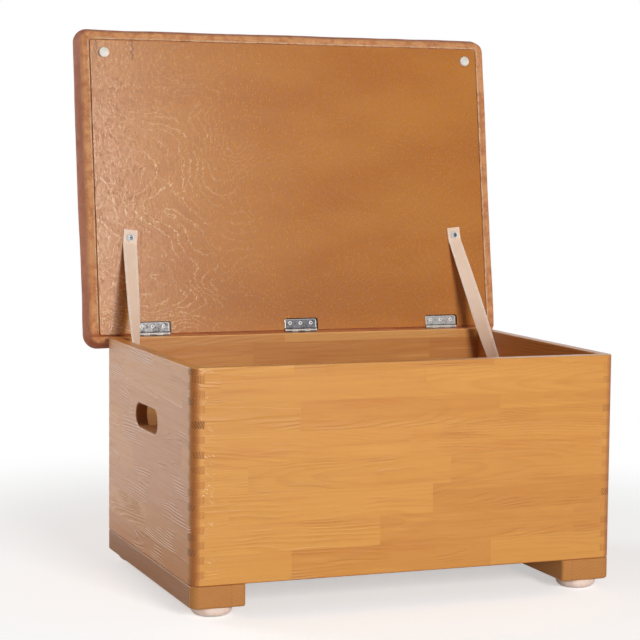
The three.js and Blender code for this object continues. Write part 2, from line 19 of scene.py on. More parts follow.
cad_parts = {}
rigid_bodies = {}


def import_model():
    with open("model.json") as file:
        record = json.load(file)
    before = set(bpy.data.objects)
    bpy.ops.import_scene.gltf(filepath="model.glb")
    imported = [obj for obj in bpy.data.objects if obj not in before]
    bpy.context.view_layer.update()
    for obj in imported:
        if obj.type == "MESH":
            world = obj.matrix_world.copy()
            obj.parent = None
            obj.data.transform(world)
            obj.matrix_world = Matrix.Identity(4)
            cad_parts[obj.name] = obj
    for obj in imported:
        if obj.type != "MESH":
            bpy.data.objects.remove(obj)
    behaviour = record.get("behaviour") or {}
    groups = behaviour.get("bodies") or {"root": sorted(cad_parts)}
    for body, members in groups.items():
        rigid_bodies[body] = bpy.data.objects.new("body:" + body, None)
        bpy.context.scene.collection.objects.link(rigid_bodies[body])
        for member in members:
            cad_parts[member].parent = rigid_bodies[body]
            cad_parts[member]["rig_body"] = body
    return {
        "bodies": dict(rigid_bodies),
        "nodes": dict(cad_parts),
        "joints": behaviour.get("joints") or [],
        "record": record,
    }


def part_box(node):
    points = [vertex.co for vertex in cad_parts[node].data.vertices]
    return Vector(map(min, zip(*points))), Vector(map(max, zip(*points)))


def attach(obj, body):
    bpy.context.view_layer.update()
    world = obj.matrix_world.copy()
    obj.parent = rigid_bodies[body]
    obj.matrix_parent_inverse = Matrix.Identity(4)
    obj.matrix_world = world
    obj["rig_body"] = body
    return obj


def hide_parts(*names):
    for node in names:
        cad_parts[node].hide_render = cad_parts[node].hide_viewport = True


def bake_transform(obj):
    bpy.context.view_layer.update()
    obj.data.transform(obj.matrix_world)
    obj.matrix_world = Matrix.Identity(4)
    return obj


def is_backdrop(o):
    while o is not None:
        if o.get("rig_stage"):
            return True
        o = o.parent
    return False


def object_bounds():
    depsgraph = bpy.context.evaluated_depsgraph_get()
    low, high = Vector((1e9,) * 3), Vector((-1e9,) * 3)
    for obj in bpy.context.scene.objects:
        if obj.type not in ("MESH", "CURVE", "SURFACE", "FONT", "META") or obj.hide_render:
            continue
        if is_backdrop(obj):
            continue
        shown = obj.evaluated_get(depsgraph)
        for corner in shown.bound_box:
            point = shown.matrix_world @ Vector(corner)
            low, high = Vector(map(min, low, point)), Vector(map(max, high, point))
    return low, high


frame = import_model()
CAD_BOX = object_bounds()

LOG = logging.getLogger("vaulting_box")
MM = 0.001
QUARTER = math.pi / 2
SHARP = math.radians(33)  # faces that meet at less than this are shaded as one
CREASE = 1.0  # radians between two faces, past which their edge gets a bevel
SLIT = 0.0001 * MM  # how near to a cut a vertex counts as lying on it
GRAIN = "grain"  # attribute: a point in its board's own axes, X along the grain
END = "end_grain"  # attribute: 1 where a face cuts across the grain, 2 in the hand slot, whose dark end grain is partly painted shade
RAW = "raw_edge"  # attribute: 1 on the cut edge of a hide
HEM_WEAR_AND_LIGHT = "worn"  # attribute: 1 where a hide is lighter on its hem and fold, partly from wear and partly painted light; kept at 0 beside the hinges as painted shade
ROUNDING_SHADE = "rounding"  # attribute: how much painted shade a wall face takes, 1 in the middle of a rounded upright corner and on the foot
WALL_SHIFT = 0.61  # metres that the grain of one wall is moved up from the grain of the wall before

Value = bpy.types.NodeSocket | float | tuple
Socket = bpy.types.NodeSocket
Mesh = bmesh.types.BMesh
Vert = bmesh.types.BMVert
Edge = bmesh.types.BMEdge
Face = bmesh.types.BMFace
Pair = tuple[float, float]
Triple = tuple[float, float, float]


class Body(Enum):
    """The two rigid bodies of the part."""

    BOX = "box"
    LID = "lid"


class Hand(Enum):
    """The two hands of the box, as seen from the front. The value is the sign of X."""

    LEFT = -1
    RIGHT = 1

    @property
    def word(self) -> str:
        """The hand's name, as the CAD nodes have it."""
        return self.name.lower()


def colour(code: str) -> tuple[float, float, float, float]:
    """Turns a written colour into what a shader takes.

    Args:
        code: six hexadecimal digits after a hash sign.

    Returns:
        The linear colour with full cover.
    """
    written = [int(code[i : i + 2], 16) / 255 for i in (1, 3, 5)]
    linear = [c / 12.92 if c <= 0.04045 else ((c + 0.055) / 1.055) ** 2.4 for c in written]
    return (*linear, 1.0)


def clamped(value: float) -> float:
    """Keeps a number from 0 to 1."""
    return max(0.0, min(1.0, value))


# Materials


class Nodes:
    """The nodes of a material or a world, which are added one at a time."""

    def __init__(self, owner: bpy.types.ID) -> None:
        """Empties the node tree.

        Args:
            owner: the material or world.
        """
        owner.use_nodes = True
        self.tree = owner.node_tree
        self.tree.nodes.clear()

    def feed(self, socket: Socket, value: Value) -> None:
        """Links a socket to another, or sets its value.

        Args:
            socket: the input.
            value: an output socket, a number or a tuple.
        """
        if isinstance(value, Socket):
            self.tree.links.new(value, socket)
        else:
            socket.default_value = value

    def add(self, kind: str, feeds: dict[str | int, Value], **settings: object) -> bpy.types.Node:
        """Adds one node.

        Args:
            kind: the node's type, without its ShaderNode prefix.
            feeds: what goes into its inputs, by name or number.
            **settings: its own properties.

        Returns:
            The node.
        """
        node = self.tree.nodes.new("ShaderNode" + kind)
        for key, value in settings.items():
            setattr(node, key, value)
        for key, value in feeds.items():
            self.feed(node.inputs[key], value)
        return node

    def math(self, operation: str, *values: Value, use_clamp: bool = False) -> Socket:
        """Works out one number from up to three, and keeps it from 0 to 1 if it is clamped."""
        feeds = dict(enumerate(values))
        return self.add("Math", feeds, operation=operation, use_clamp=use_clamp).outputs[0]

    def product(self, *values: Value) -> Value:
        """Multiplies several numbers."""
        return reduce(lambda one, other: self.math("MULTIPLY", one, other), values)

    def vector_math(self, operation: str, *values: Value) -> Socket:
        """Works out one vector from up to three."""
        feeds = dict(enumerate(values))
        return self.add("VectorMath", feeds, operation=operation).outputs[0]

    def length(self, vector: Value) -> Socket:
        """Gives the length of a vector."""
        return self.add("VectorMath", {0: vector}, operation="LENGTH").outputs["Value"]

    def along(self, vector: Value, way: Triple) -> Socket:
        """Gives how far a vector reaches along a way."""
        return self.add("VectorMath", {0: vector, 1: way}, operation="DOT_PRODUCT").outputs["Value"]

    def join(self, x: Value, y: Value, z: Value) -> Socket:
        """Makes a vector of three numbers."""
        return self.add("CombineXYZ", {0: x, 1: y, 2: z}).outputs[0]

    def split(self, vector: Value) -> tuple[Socket, ...]:
        """Gives the three numbers of a vector."""
        return tuple(self.add("SeparateXYZ", {0: vector}).outputs)

    def mix(self, share: Value, first: Value, second: Value) -> Socket:
        """Mixes two colours, all of the first at share 0 and all of the second at 1."""
        feeds = {0: share, 6: first, 7: second}
        return self.add("Mix", feeds, data_type="RGBA", blend_type="MIX").outputs[2]

    def layered(self, base: Value, *layers: tuple[Value, str]) -> Value:
        """Lays written colours over a colour, one after the other.

        Args:
            base: the lowest colour.
            *layers: for each layer, how much of it shows and its written colour.

        Returns:
            The colour with all its layers.
        """
        for share, code in layers:
            base = self.mix(share, base, colour(code))
        return base

    def ramp(
        self, value: Value, low: float, high: float, start: Value = 0.0, end: Value = 1.0
    ) -> Socket:
        """Maps a number smoothly, to start where it is low and to end where it is high."""
        feeds = {0: value, 1: low, 2: high, 3: start, 4: end}
        return self.add("MapRange", feeds, interpolation_type="SMOOTHSTEP").outputs[0]

    def noise(
        self, vector: Value, scale: float | Triple, detail: float = 3.0, roughness: float = 0.55,
        distortion: float = 0.0,
    ) -> Socket:
        """Gives cloudy noise between 0 and 1.

        Args:
            vector: where it is read.
            scale: its fineness, the same all ways or one for each axis.
            detail: how many finer layers it has.
            roughness: how strong these are.
            distortion: how much it is stirred.

        Returns:
            The value.
        """
        if isinstance(scale, tuple):
            vector, scale = self.vector_math("MULTIPLY", vector, scale), 1.0
        feeds = {"Vector": vector, "Scale": scale, "Detail": detail, "Roughness": roughness}
        return self.add("TexNoise", {**feeds, "Distortion": distortion}).outputs[0]

    def stir(self, vector: Value, scale: float) -> Socket:
        """Gives a vector of three noises between 0 and 1."""
        return self.add("TexNoise", {"Vector": vector, "Scale": scale}).outputs[1]

    def attribute(self, name: str) -> Socket:
        """Reads a number that is written on the mesh."""
        return self.add("Attribute", {}, attribute_name=name).outputs["Fac"]

    def place(self) -> Socket:
        """The point in the axes of its own board or hide."""
        return self.add("Attribute", {}, attribute_name=GRAIN).outputs["Vector"]


class Shader(Nodes):
    """A material that ends in one principled shader."""

    def __init__(self, name: str) -> None:
        """Makes an empty material.

        Args:
            name: the material's name.
        """
        self.material = bpy.data.materials.new(name)
        super().__init__(self.material)
        self.surface = self.add("BsdfPrincipled", {})
        self.output = self.add("OutputMaterial", {0: self.surface.outputs[0]})

    def bump(self, height: Value, distance: float) -> None:
        """Roughens the surface by a relief from 0 to 1, of which 1 stands a distance high."""
        node = self.add("Bump", {"Height": height, "Distance": distance, "Strength": 1.0})
        self.feed(self.surface.inputs["Normal"], node.outputs[0])

    def finish(self, base: Value, roughness: Value, **sockets: Value) -> bpy.types.Material:
        """Feeds the shader.

        Args:
            base: the colour.
            roughness: the roughness.
            **sockets: other inputs, with underscores for the blanks in their names.

        Returns:
            The material.
        """
        sockets.update(Base_Color=base, Roughness=roughness)
        for key, value in sockets.items():
            self.feed(self.surface.inputs[key.replace("_", " ")], value)
        return self.material


@dataclass(frozen=True)
class LaminatedPine:
    """Brushed and lacquered pine, glued up from staves whose grain runs along X of the board."""

    name: str
    light: str
    dark: str
    red: str
    late: str
    end: str
    # colour of the painted shade on the rounded corners, the foot and the inner faces
    rubbed: str = "#a4581c"
    scuff: str = "#f8e2b4"
    cut_tone: str = "#cf8d40"
    rim_tone: str = "#f9b465"
    stave_height: float = 46.5 * MM
    stave_length: float = 340 * MM
    ring_gap: float = 3.6 * MM
    inner_face: Pair = (18.5 * MM, 19.8 * MM)
    top_face: Pair = (333.2 * MM, 334 * MM)
    seam_width: Pair = (0.2 * MM, 0.7 * MM)
    tone: float = 0.5
    redness: float = 0.22
    roughness: float = 0.34
    relief: float = 0.8 * MM
    lacquer: float = 0.35
    figure: float = 0.15
    brush: float = 1.0
    grain: float = 1.0
    ticks: float = 0.9
    # how strong the painted highlight along the wall's top face is
    rim: float = 0.0
    # how much painted shade the inner faces take
    inside: float = 0.0
    seam: float = 0.0
    scuffed: float = 0.0
    seed: float = 0.0

    def material(self) -> bpy.types.Material:
        """Builds the material.

        Returns:
            The material.
        """
        s = Shader(self.name)
        point = s.place()
        x, y, z = s.split(point)
        row = s.math("FLOOR", s.math("DIVIDE", z, self.stave_height))
        row_seed = s.math("ADD", row, self.seed)
        row_chance = s.add("TexWhiteNoise", {"W": row_seed}, noise_dimensions="1D").outputs[0]
        column = s.math("FLOOR", s.math("MULTIPLY_ADD", x, 1 / self.stave_length, row_chance))
        stave = s.join(row, column, self.seed)
        chance = s.add("TexWhiteNoise", {"Vector": stave}, noise_dimensions="3D")
        value, chances = chance.outputs[0], chance.outputs[1]
        hue = s.split(chances)[2]
        own = s.vector_math("MULTIPLY_ADD", chances, (3.0, 3.0, 3.0), point)

        above_foot = s.math("MULTIPLY_ADD", row, -self.stave_height, z)
        late = self._rings(s, x, y, above_foot, chances, own)
        lines = s.noise(own, (9.0, 330.0, 330.0), 4.0, 0.6, 0.3)
        streaks = s.noise(own, (4.0, 70.0, 70.0), 4.0, 0.6, 0.2)
        fibres = s.noise(own, (60.0, 1100.0, 1100.0), 2.0, 0.6)
        clouds = s.noise(own, (3.0, 26.0, 26.0), 2.0, 0.5)
        patches = s.ramp(s.noise(own, (8.0, 26.0, 26.0), 2.0, 0.5), 0.48, 0.6)
        rough_ends = s.ramp(s.math("ABSOLUTE", s.math("WRAP", x, 1.0, -1.0)), 0.16, 0.34)
        lined = s.math("MULTIPLY_ADD", patches, 0.22, 0.1 * self.brush)
        to_seam = s.math("PINGPONG", z, self.stave_height / 2)
        own_height = s.math("WRAP", z, WALL_SHIFT, 0.0)
        inner = s.ramp(y, *self.inner_face)
        # painted shade on the inner faces inside the box, stronger on some staves than on others
        inside_shade = s.ramp(hue, 0.1, 0.9, 0.2 * self.inside, 2.6 * self.inside)
        cut = s.attribute(END)
        sawn = s.ramp(cut, 0.0, 0.05)

        half_tone = self.tone / 2
        toned = s.ramp(value, 0.0, 1.0, 0.5 - half_tone, 0.5 + half_tone)
        base = s.layered(
            s.mix(toned, colour(self.light), colour(self.dark)),
            (s.ramp(hue, 0.5, 1.0, 0.0, self.redness), self.red),
            (s.ramp(streaks, 0.5, 0.72, 0.0, 0.42 * self.grain), self.red),
            (s.ramp(streaks, 0.45, 0.28, 0.0, 0.5 * self.grain), self.light),
            (s.product(late, s.ramp(clouds, 0.35, 0.65, 0.02, self.figure)), self.late),
            (s.product(s.ramp(lines, 0.54, 0.76), lined), self.late),
            (s.ramp(lines, 0.46, 0.28, 0.0, 0.25 * self.grain), self.light),
            (s.ramp(fibres, 0.55, 0.8, 0.0, 0.18 * self.grain), self.late),
            (s.ramp(to_seam, *self.seam_width, self.seam, 0.0), self.end),
            # painted glints on scratches in the lacquer by the front corners
            (self._scuffs(s, x, z), self.scuff),
            (s.product(sawn, 0.75), self.cut_tone),
            # painted shade on the rounded upright corners and on the foot
            (s.product(s.attribute(ROUNDING_SHADE), 0.8), self.rubbed),
            # painted shade on the inner faces
            (s.product(inner, inside_shade), self.rubbed),
            # painted highlight along the wall's top face
            (s.ramp(own_height, *self.top_face, 0.0, self.rim), self.rim_tone),
            (s.math("MULTIPLY", cut, 0.5, use_clamp=True), self.late),
            # the darkest end grain, in the hand slots: partly painted shade
            (s.ramp(cut, 0.9, 2.0, 0.0, 0.92), self.end),
            (s.math("MULTIPLY", s.product(cut, late), self.ticks, use_clamp=True), self.end),
        )

        arcs = s.product(late, patches, s.math("MULTIPLY_ADD", inner, -0.6, 1.0))
        strokes = s.math("MULTIPLY_ADD", rough_ends, -0.42 * self.brush, -0.12 * self.brush)
        brushed = s.math("MULTIPLY_ADD", fibres, -0.1, s.product(strokes, lines))
        relief = s.math("MULTIPLY_ADD", arcs, 0.65, brushed)
        s.bump(s.product(relief, s.math("MULTIPLY_ADD", sawn, -0.85, 1.0)), self.relief)
        rough = s.ramp(lines, 0.3, 0.7, self.roughness - 0.05, self.roughness + 0.1)
        rough = s.math("MULTIPLY_ADD", sawn, 0.3, rough)
        return s.finish(base, rough, Coat_Weight=self.lacquer, Coat_Roughness=0.28)

    def _scuffs(self, s: Shader, x: Value, z: Value) -> Socket:
        """Gives pale scratch-like strokes beside the corners of the front wall: scratches in the
        lacquer with their glints painted in.

        Args:
            s: the shader.
            x: place along the board.
            z: place across it.

        Returns:
            The painted glints, from 0 to 1.
        """
        aside = s.math("ABSOLUTE", x)
        band = s.product(s.ramp(aside, 0.318, 0.332), s.ramp(aside, 0.3465, 0.341))
        slanted = s.math("MULTIPLY_ADD", x, 0.5, z)
        strokes = s.noise(s.join(s.product(x, 90.0), 0.0, s.product(slanted, 430.0)), 1.0, 2.0, 0.6)
        dense = s.noise(s.join(0.0, 0.0, z), 24.0, 2.0)
        # the painted glints are strongest at the left end and fade to a tenth at the right
        left = s.ramp(x, -0.2, 0.2, self.scuffed, 0.1 * self.scuffed)
        share = s.product(s.ramp(dense, 0.46, 0.6, 0.04, 1.0), left)
        return s.product(s.ramp(strokes, 0.57, 0.64), band, share)

    def _rings(
        self, s: Shader, x: Value, y: Value, height: Value, chances: Value, own: Value
    ) -> Socket:
        """Gives the dark late wood of growth rings round a pith that lies behind each stave.

        Args:
            s: the shader.
            x: place along the board.
            y: place through the board.
            height: height above the foot of the stave.
            chances: three random numbers of the stave.
            own: the point, moved by the stave's random numbers.

        Returns:
            The late wood, from 0 to 1.
        """
        first, second, third = s.split(chances)
        pith = s.math("MULTIPLY_ADD", first, 1.6 * self.stave_height, -0.3 * self.stave_height)
        behind = s.math("ADD", y, s.math("MULTIPLY_ADD", second, 0.05, 0.01))
        across = s.length(s.join(s.math("SUBTRACT", height, pith), behind, 0.0))
        sway = s.noise(own, (3.6, 16.0, 16.0), 2.0, 0.5)
        tapered = s.math("MULTIPLY_ADD", x, s.math("MULTIPLY_ADD", third, 0.1, -0.05), across)
        reach = s.math("MULTIPLY_ADD", sway, 0.02, tapered)
        phase = s.math("FRACT", s.math("DIVIDE", reach, self.ring_gap))
        return s.product(s.ramp(phase, 0.2, 0.82), s.ramp(phase, 0.84, 0.98, 1.0, 0.0))


@dataclass(frozen=True)
class Plywood:
    """Stained plywood with the broken contour lines of peeled veneer. X runs along the sheet."""

    name: str
    light: str
    dark: str
    pale: str
    line: str
    crack: str
    pit: str = "#96622f"
    # colour of the painted shade round the hinge leaves
    seat: str = "#2a1206"
    roughness: float = 0.27
    relief: float = 0.2 * MM
    seat_spacing: float = 276 * MM
    seat_half_width: float = 31.9 * MM
    seat_reach: float = 21.9 * MM
    seat_corner: float = 4 * MM
    seat_shift: float = 2.2 * MM
    seat_blur: float = 0.3 * MM
    bands: float = 54.0
    slope_step: float = 2 * MM
    line_width: Pair = (0.3 * MM, 1.2 * MM)
    crack_places: Pair = (-360 * MM, -295 * MM)
    crack_sway: float = 28 * MM
    crack_width: Pair = (0.5 * MM, 1.9 * MM)
    crack_end: Pair = (-487 * MM, -479 * MM)

    def material(self) -> bpy.types.Material:
        """Builds the material.

        Returns:
            The material.
        """
        s = Shader(self.name)
        point = s.place()
        x, y, _ = s.split(point)
        dense = s.product(s.ramp(x, -0.27, -0.03, 1.0, 0.12), s.ramp(y, -0.44, -0.3, 0.35, 1.0))
        broken = s.product(s.ramp(s.noise(point, 11.0, 4.0, 0.65), 0.38, 0.52), dense)
        dotted = s.ramp(s.noise(point, 300.0, 2.0), 0.38, 0.54, 0.25, 1.0)
        lines = s.product(self._contours(s, point), broken, dotted)
        dashes = s.ramp(s.noise(point, (34.0, 700.0, 700.0), 3.0, 0.6), 0.6, 0.72)
        fleck = s.noise(point, (430.0, 150.0, 150.0), 3.0, 0.8)
        clouds = s.noise(point, (3.0, 8.0, 8.0), 3.0)
        # stronger toward the left: the panel's own texture, with painted light where the light
        # grazes the colour flecks; it also scales the relief
        texture_and_painted_light = s.ramp(x, -0.34, 0.08, 1.0, 0.45)

        base = s.layered(
            s.mix(s.ramp(clouds, 0.3, 0.7, 0.2, 0.7), colour(self.light), colour(self.dark)),
            (s.product(s.ramp(fleck, 0.5, 0.68, 0.0, 0.8), texture_and_painted_light), self.pit),
            (s.product(s.ramp(fleck, 0.47, 0.34), texture_and_painted_light), self.pale),
            (s.product(dashes, 0.3, texture_and_painted_light), self.pale),
            (s.product(lines, 0.6), self.line),
            (self._cracks(s, point), self.crack),
            # painted shade round the hinge leaves
            (self._seats(s, point), self.seat),
        )
        pebbled = s.product(fleck, s.product(texture_and_painted_light, 0.5))
        s.bump(s.math("MULTIPLY_ADD", lines, 0.4, pebbled), self.relief)
        rough = s.ramp(fleck, 0.45, 0.64, self.roughness - 0.05, self.roughness + 0.3)
        return s.finish(base, rough)

    def _seats(self, s: Shader, point: Value) -> Socket:
        """Gives the painted shade round the three hinge leaves, on a patch a little larger than
        each leaf.

        Args:
            s: the shader.
            point: the place.

        Returns:
            The seats, from 0 to 1.
        """
        x, y, _ = s.split(point)
        half_gap, radius, blur = self.seat_spacing / 2, self.seat_corner, self.seat_blur
        moved = s.math("WRAP", s.math("SUBTRACT", x, self.seat_shift), half_gap, -half_gap)
        past = [
            s.math("MAXIMUM", s.math("SUBTRACT", distance, reach - radius), 0.0)
            for distance, reach in (
                (s.math("ABSOLUTE", moved), self.seat_half_width),
                (s.product(y, -1.0), self.seat_reach),
            )
        ]
        return s.ramp(s.length(s.join(*past, 0.0)), radius - blur, radius + blur, 1.0, 0.0)

    def _contours(self, s: Shader, point: Value) -> Socket:
        """Gives contour lines of one width, from a hilly field and its slope.

        Args:
            s: the shader.
            point: the place.

        Returns:
            The lines, from 0 to 1.
        """
        step = self.slope_step
        frayed = point
        for scale, amount in ((60.0, 0.016), (240.0, 0.009)):
            moved = (amount, amount, 0.0)
            frayed = s.vector_math("MULTIPLY_ADD", s.stir(point, scale), moved, frayed)

        def field(shift: Triple) -> Socket:
            """The height of the field a little to the side."""
            return s.noise(s.vector_math("ADD", frayed, shift), (3.0, 4.2, 1.0), 1.6, 0.5, 0.3)

        here = field((0.0, 0.0, 0.0))
        beside = ((step, 0.0, 0.0), (0.0, step, 0.0))
        rises = [s.math("SUBTRACT", field(shift), here) for shift in beside]
        slope = s.math("DIVIDE", s.length(s.join(*rises, 0.0)), step)
        off = s.math("PINGPONG", s.product(here, self.bands), 0.5)
        flattest = s.math("ADD", slope, 0.12)
        distance = s.math("DIVIDE", s.math("DIVIDE", off, self.bands), flattest)
        return s.ramp(distance, *self.line_width, 1.0, 0.0)

    def _cracks(self, s: Shader, point: Value) -> Socket:
        """Gives two short wavy cracks in the veneer by the left free corner.

        Args:
            s: the shader.
            point: the place.

        Returns:
            The cracks, from 0 to 1.
        """
        x, y, _ = s.split(point)
        fray = s.noise(point, 150.0, 2.0, 0.7)
        wave = s.noise(s.join(y, 0.0, 0.0), 130.0, 3.0, 0.7)
        cracks = []
        for middle in self.crack_places:
            place = s.math("MULTIPLY_ADD", wave, self.crack_sway, middle - self.crack_sway / 2)
            off = s.math("ABSOLUTE", s.math("SUBTRACT", x, place))
            frayed = s.math("MULTIPLY_ADD", fray, 0.6 * MM, off)
            cracks.append(s.ramp(frayed, *self.crack_width, 0.9, 0.0))
        return s.product(s.math("MAXIMUM", *cracks), s.ramp(y, *self.crack_end, 1.0, 0.0))


@dataclass(frozen=True)
class Hide:
    """Leather with its pebbled grain, lighter in places from wear and painted light, and pale where
    it was cut.
    """

    name: str
    light: str
    dark: str
    # lighter colour of the hem and fold, partly wear and partly painted light, and of the creases
    rubbed: str
    raw: str
    relief: float
    roughness: float
    pebble: float = 2.1 * MM
    stirred: float = 2 * MM
    gloss: float = 0.5

    def material(self) -> bpy.types.Material:
        """Builds the material.

        Returns:
            The material.
        """
        s = Shader(self.name)
        point = s.place()
        moved = s.vector_math("MULTIPLY", s.stir(point, 160.0), (self.stirred,) * 3)
        feeds = {"Vector": s.vector_math("ADD", point, moved), "Scale": 1.0 / self.pebble}
        cells = s.add("TexVoronoi", feeds, feature="DISTANCE_TO_EDGE").outputs["Distance"]
        pebbles = s.ramp(cells, 0.0, 0.28)
        clouds = s.noise(point, 7.0, 4.0, 0.6)
        mottle = s.noise(point, 60.0, 4.0, 0.65)
        creases = s.noise(point, (26.0, 90.0, 90.0), 4.0, 0.6, 1.2)
        fray = s.ramp(s.noise(point, 85.0, 5.0, 0.75), 0.4, 0.56, 0.15, 1.0)
        raw = s.product(s.attribute(RAW), fray)
        base = s.layered(
            s.mix(s.ramp(clouds, 0.32, 0.68, 0.1, 0.75), colour(self.light), colour(self.dark)),
            # lighter hem and fold: partly wear, partly painted light
            (s.product(s.attribute(HEM_WEAR_AND_LIGHT), s.ramp(mottle, 0.68, 0.35, 0.45, 1.0)), self.rubbed),
            (s.ramp(mottle, 0.47, 0.74, 0.0, 0.28), self.dark),
            (s.ramp(pebbles, 0.0, 0.6, 0.45, 0.0), self.dark),
            (s.ramp(creases, 0.6, 0.8, 0.0, 0.35), self.rubbed),
            (raw, self.raw),
        )
        relief = s.math("MULTIPLY_ADD", mottle, 0.3, s.product(raw, 0.5))
        s.bump(s.math("MULTIPLY_ADD", pebbles, 0.5, relief), self.relief)
        rough = s.ramp(mottle, 0.3, 0.75, self.roughness - 0.06, self.roughness + 0.14)
        return s.finish(base, rough, Specular_IOR_Level=self.gloss)


@dataclass(frozen=True)
class Zinc:
    """Zinc-plated steel with faint drawn streaks."""

    name: str
    tint: str
    shade: str
    roughness: float
    metal: float = 1.0
    # where a hinge leaf takes its painted highlights and groove shade; None for other zinc
    rim: Pair | None = None
    bright: str = "#f4ece2"
    dirt: str = "#201c1a"

    def material(self) -> bpy.types.Material:
        """Builds the material.

        Returns:
            The material.
        """
        s = Shader(self.name)
        point = s.place()
        streaks = s.noise(point, (160.0, 1800.0, 1800.0), 3.0)
        stains = s.noise(point, 240.0, 3.0, 0.6)
        base = s.mix(s.ramp(stains, 0.4, 0.7), colour(self.tint), colour(self.shade))
        base = s.layered(base, (s.ramp(streaks, 0.4, 0.8, 0.0, 0.4), self.shade))
        if self.rim:
            base = self._leaf(s, point, base)
        s.bump(streaks, 0.04 * MM)
        rough = s.ramp(stains, 0.3, 0.7, self.roughness - 0.06, self.roughness + 0.12)
        return s.finish(base, rough, Metallic=self.metal)

    def _leaf(self, s: Shader, point: Value, base: Value) -> Socket:
        """Adds painted highlights on a hinge leaf's edges and knuckles, and painted shade in the
        groove beside its knuckles.

        Args:
            s: the shader.
            point: the place, with the leaf's width along X and its free edge at negative Y.
            base: the colour without them.

        Returns:
            The colour.
        """
        half_width, reach = self.rim
        x, y, _ = s.split(point)
        # painted highlights along the leaf's sides and free edge
        side = s.ramp(s.math("ABSOLUTE", x), half_width - 1.8 * MM, half_width - 0.9 * MM)
        edge = s.ramp(y, 1.4 * MM - reach, 0.6 * MM - reach)
        # painted highlight along the knuckles
        knuckle = s.ramp(y, -2.1 * MM, -1.7 * MM, 0.0, 0.5)
        rubbed = s.math("MAXIMUM", s.product(side, 0.8), s.product(edge, 0.35))
        # painted shade in the groove between the leaf and its knuckles
        to_groove_shade = s.math("ABSOLUTE", s.math("ADD", y, 3.1 * MM))
        return s.layered(
            base,
            (s.math("MAXIMUM", rubbed, knuckle), self.bright),
            (s.ramp(to_groove_shade, 0.6 * MM, 1.1 * MM, 0.85, 0.0), self.dirt),
        )


@dataclass(frozen=True)
class Moulded:
    """Pale moulded plastic with a faint haze."""

    name: str
    tint: str
    shade: str
    roughness: float = 0.4

    def material(self) -> bpy.types.Material:
        """Builds the material.

        Returns:
            The material.
        """
        s = Shader(self.name)
        point = s.place()
        haze = s.noise(point, 70.0, 4.0, 0.6)
        base = s.mix(s.ramp(haze, 0.35, 0.7), colour(self.tint), colour(self.shade))
        s.bump(s.noise(point, 900.0, 2.0), 0.05 * MM)
        rough = s.ramp(haze, 0.3, 0.7, self.roughness - 0.05, self.roughness + 0.1)
        return s.finish(base, rough, Subsurface_Weight=0.08, Subsurface_Scale=4 * MM)


LEAF_RIM = (30 * MM, 20 * MM)  # half the width of a hinge leaf, and its reach


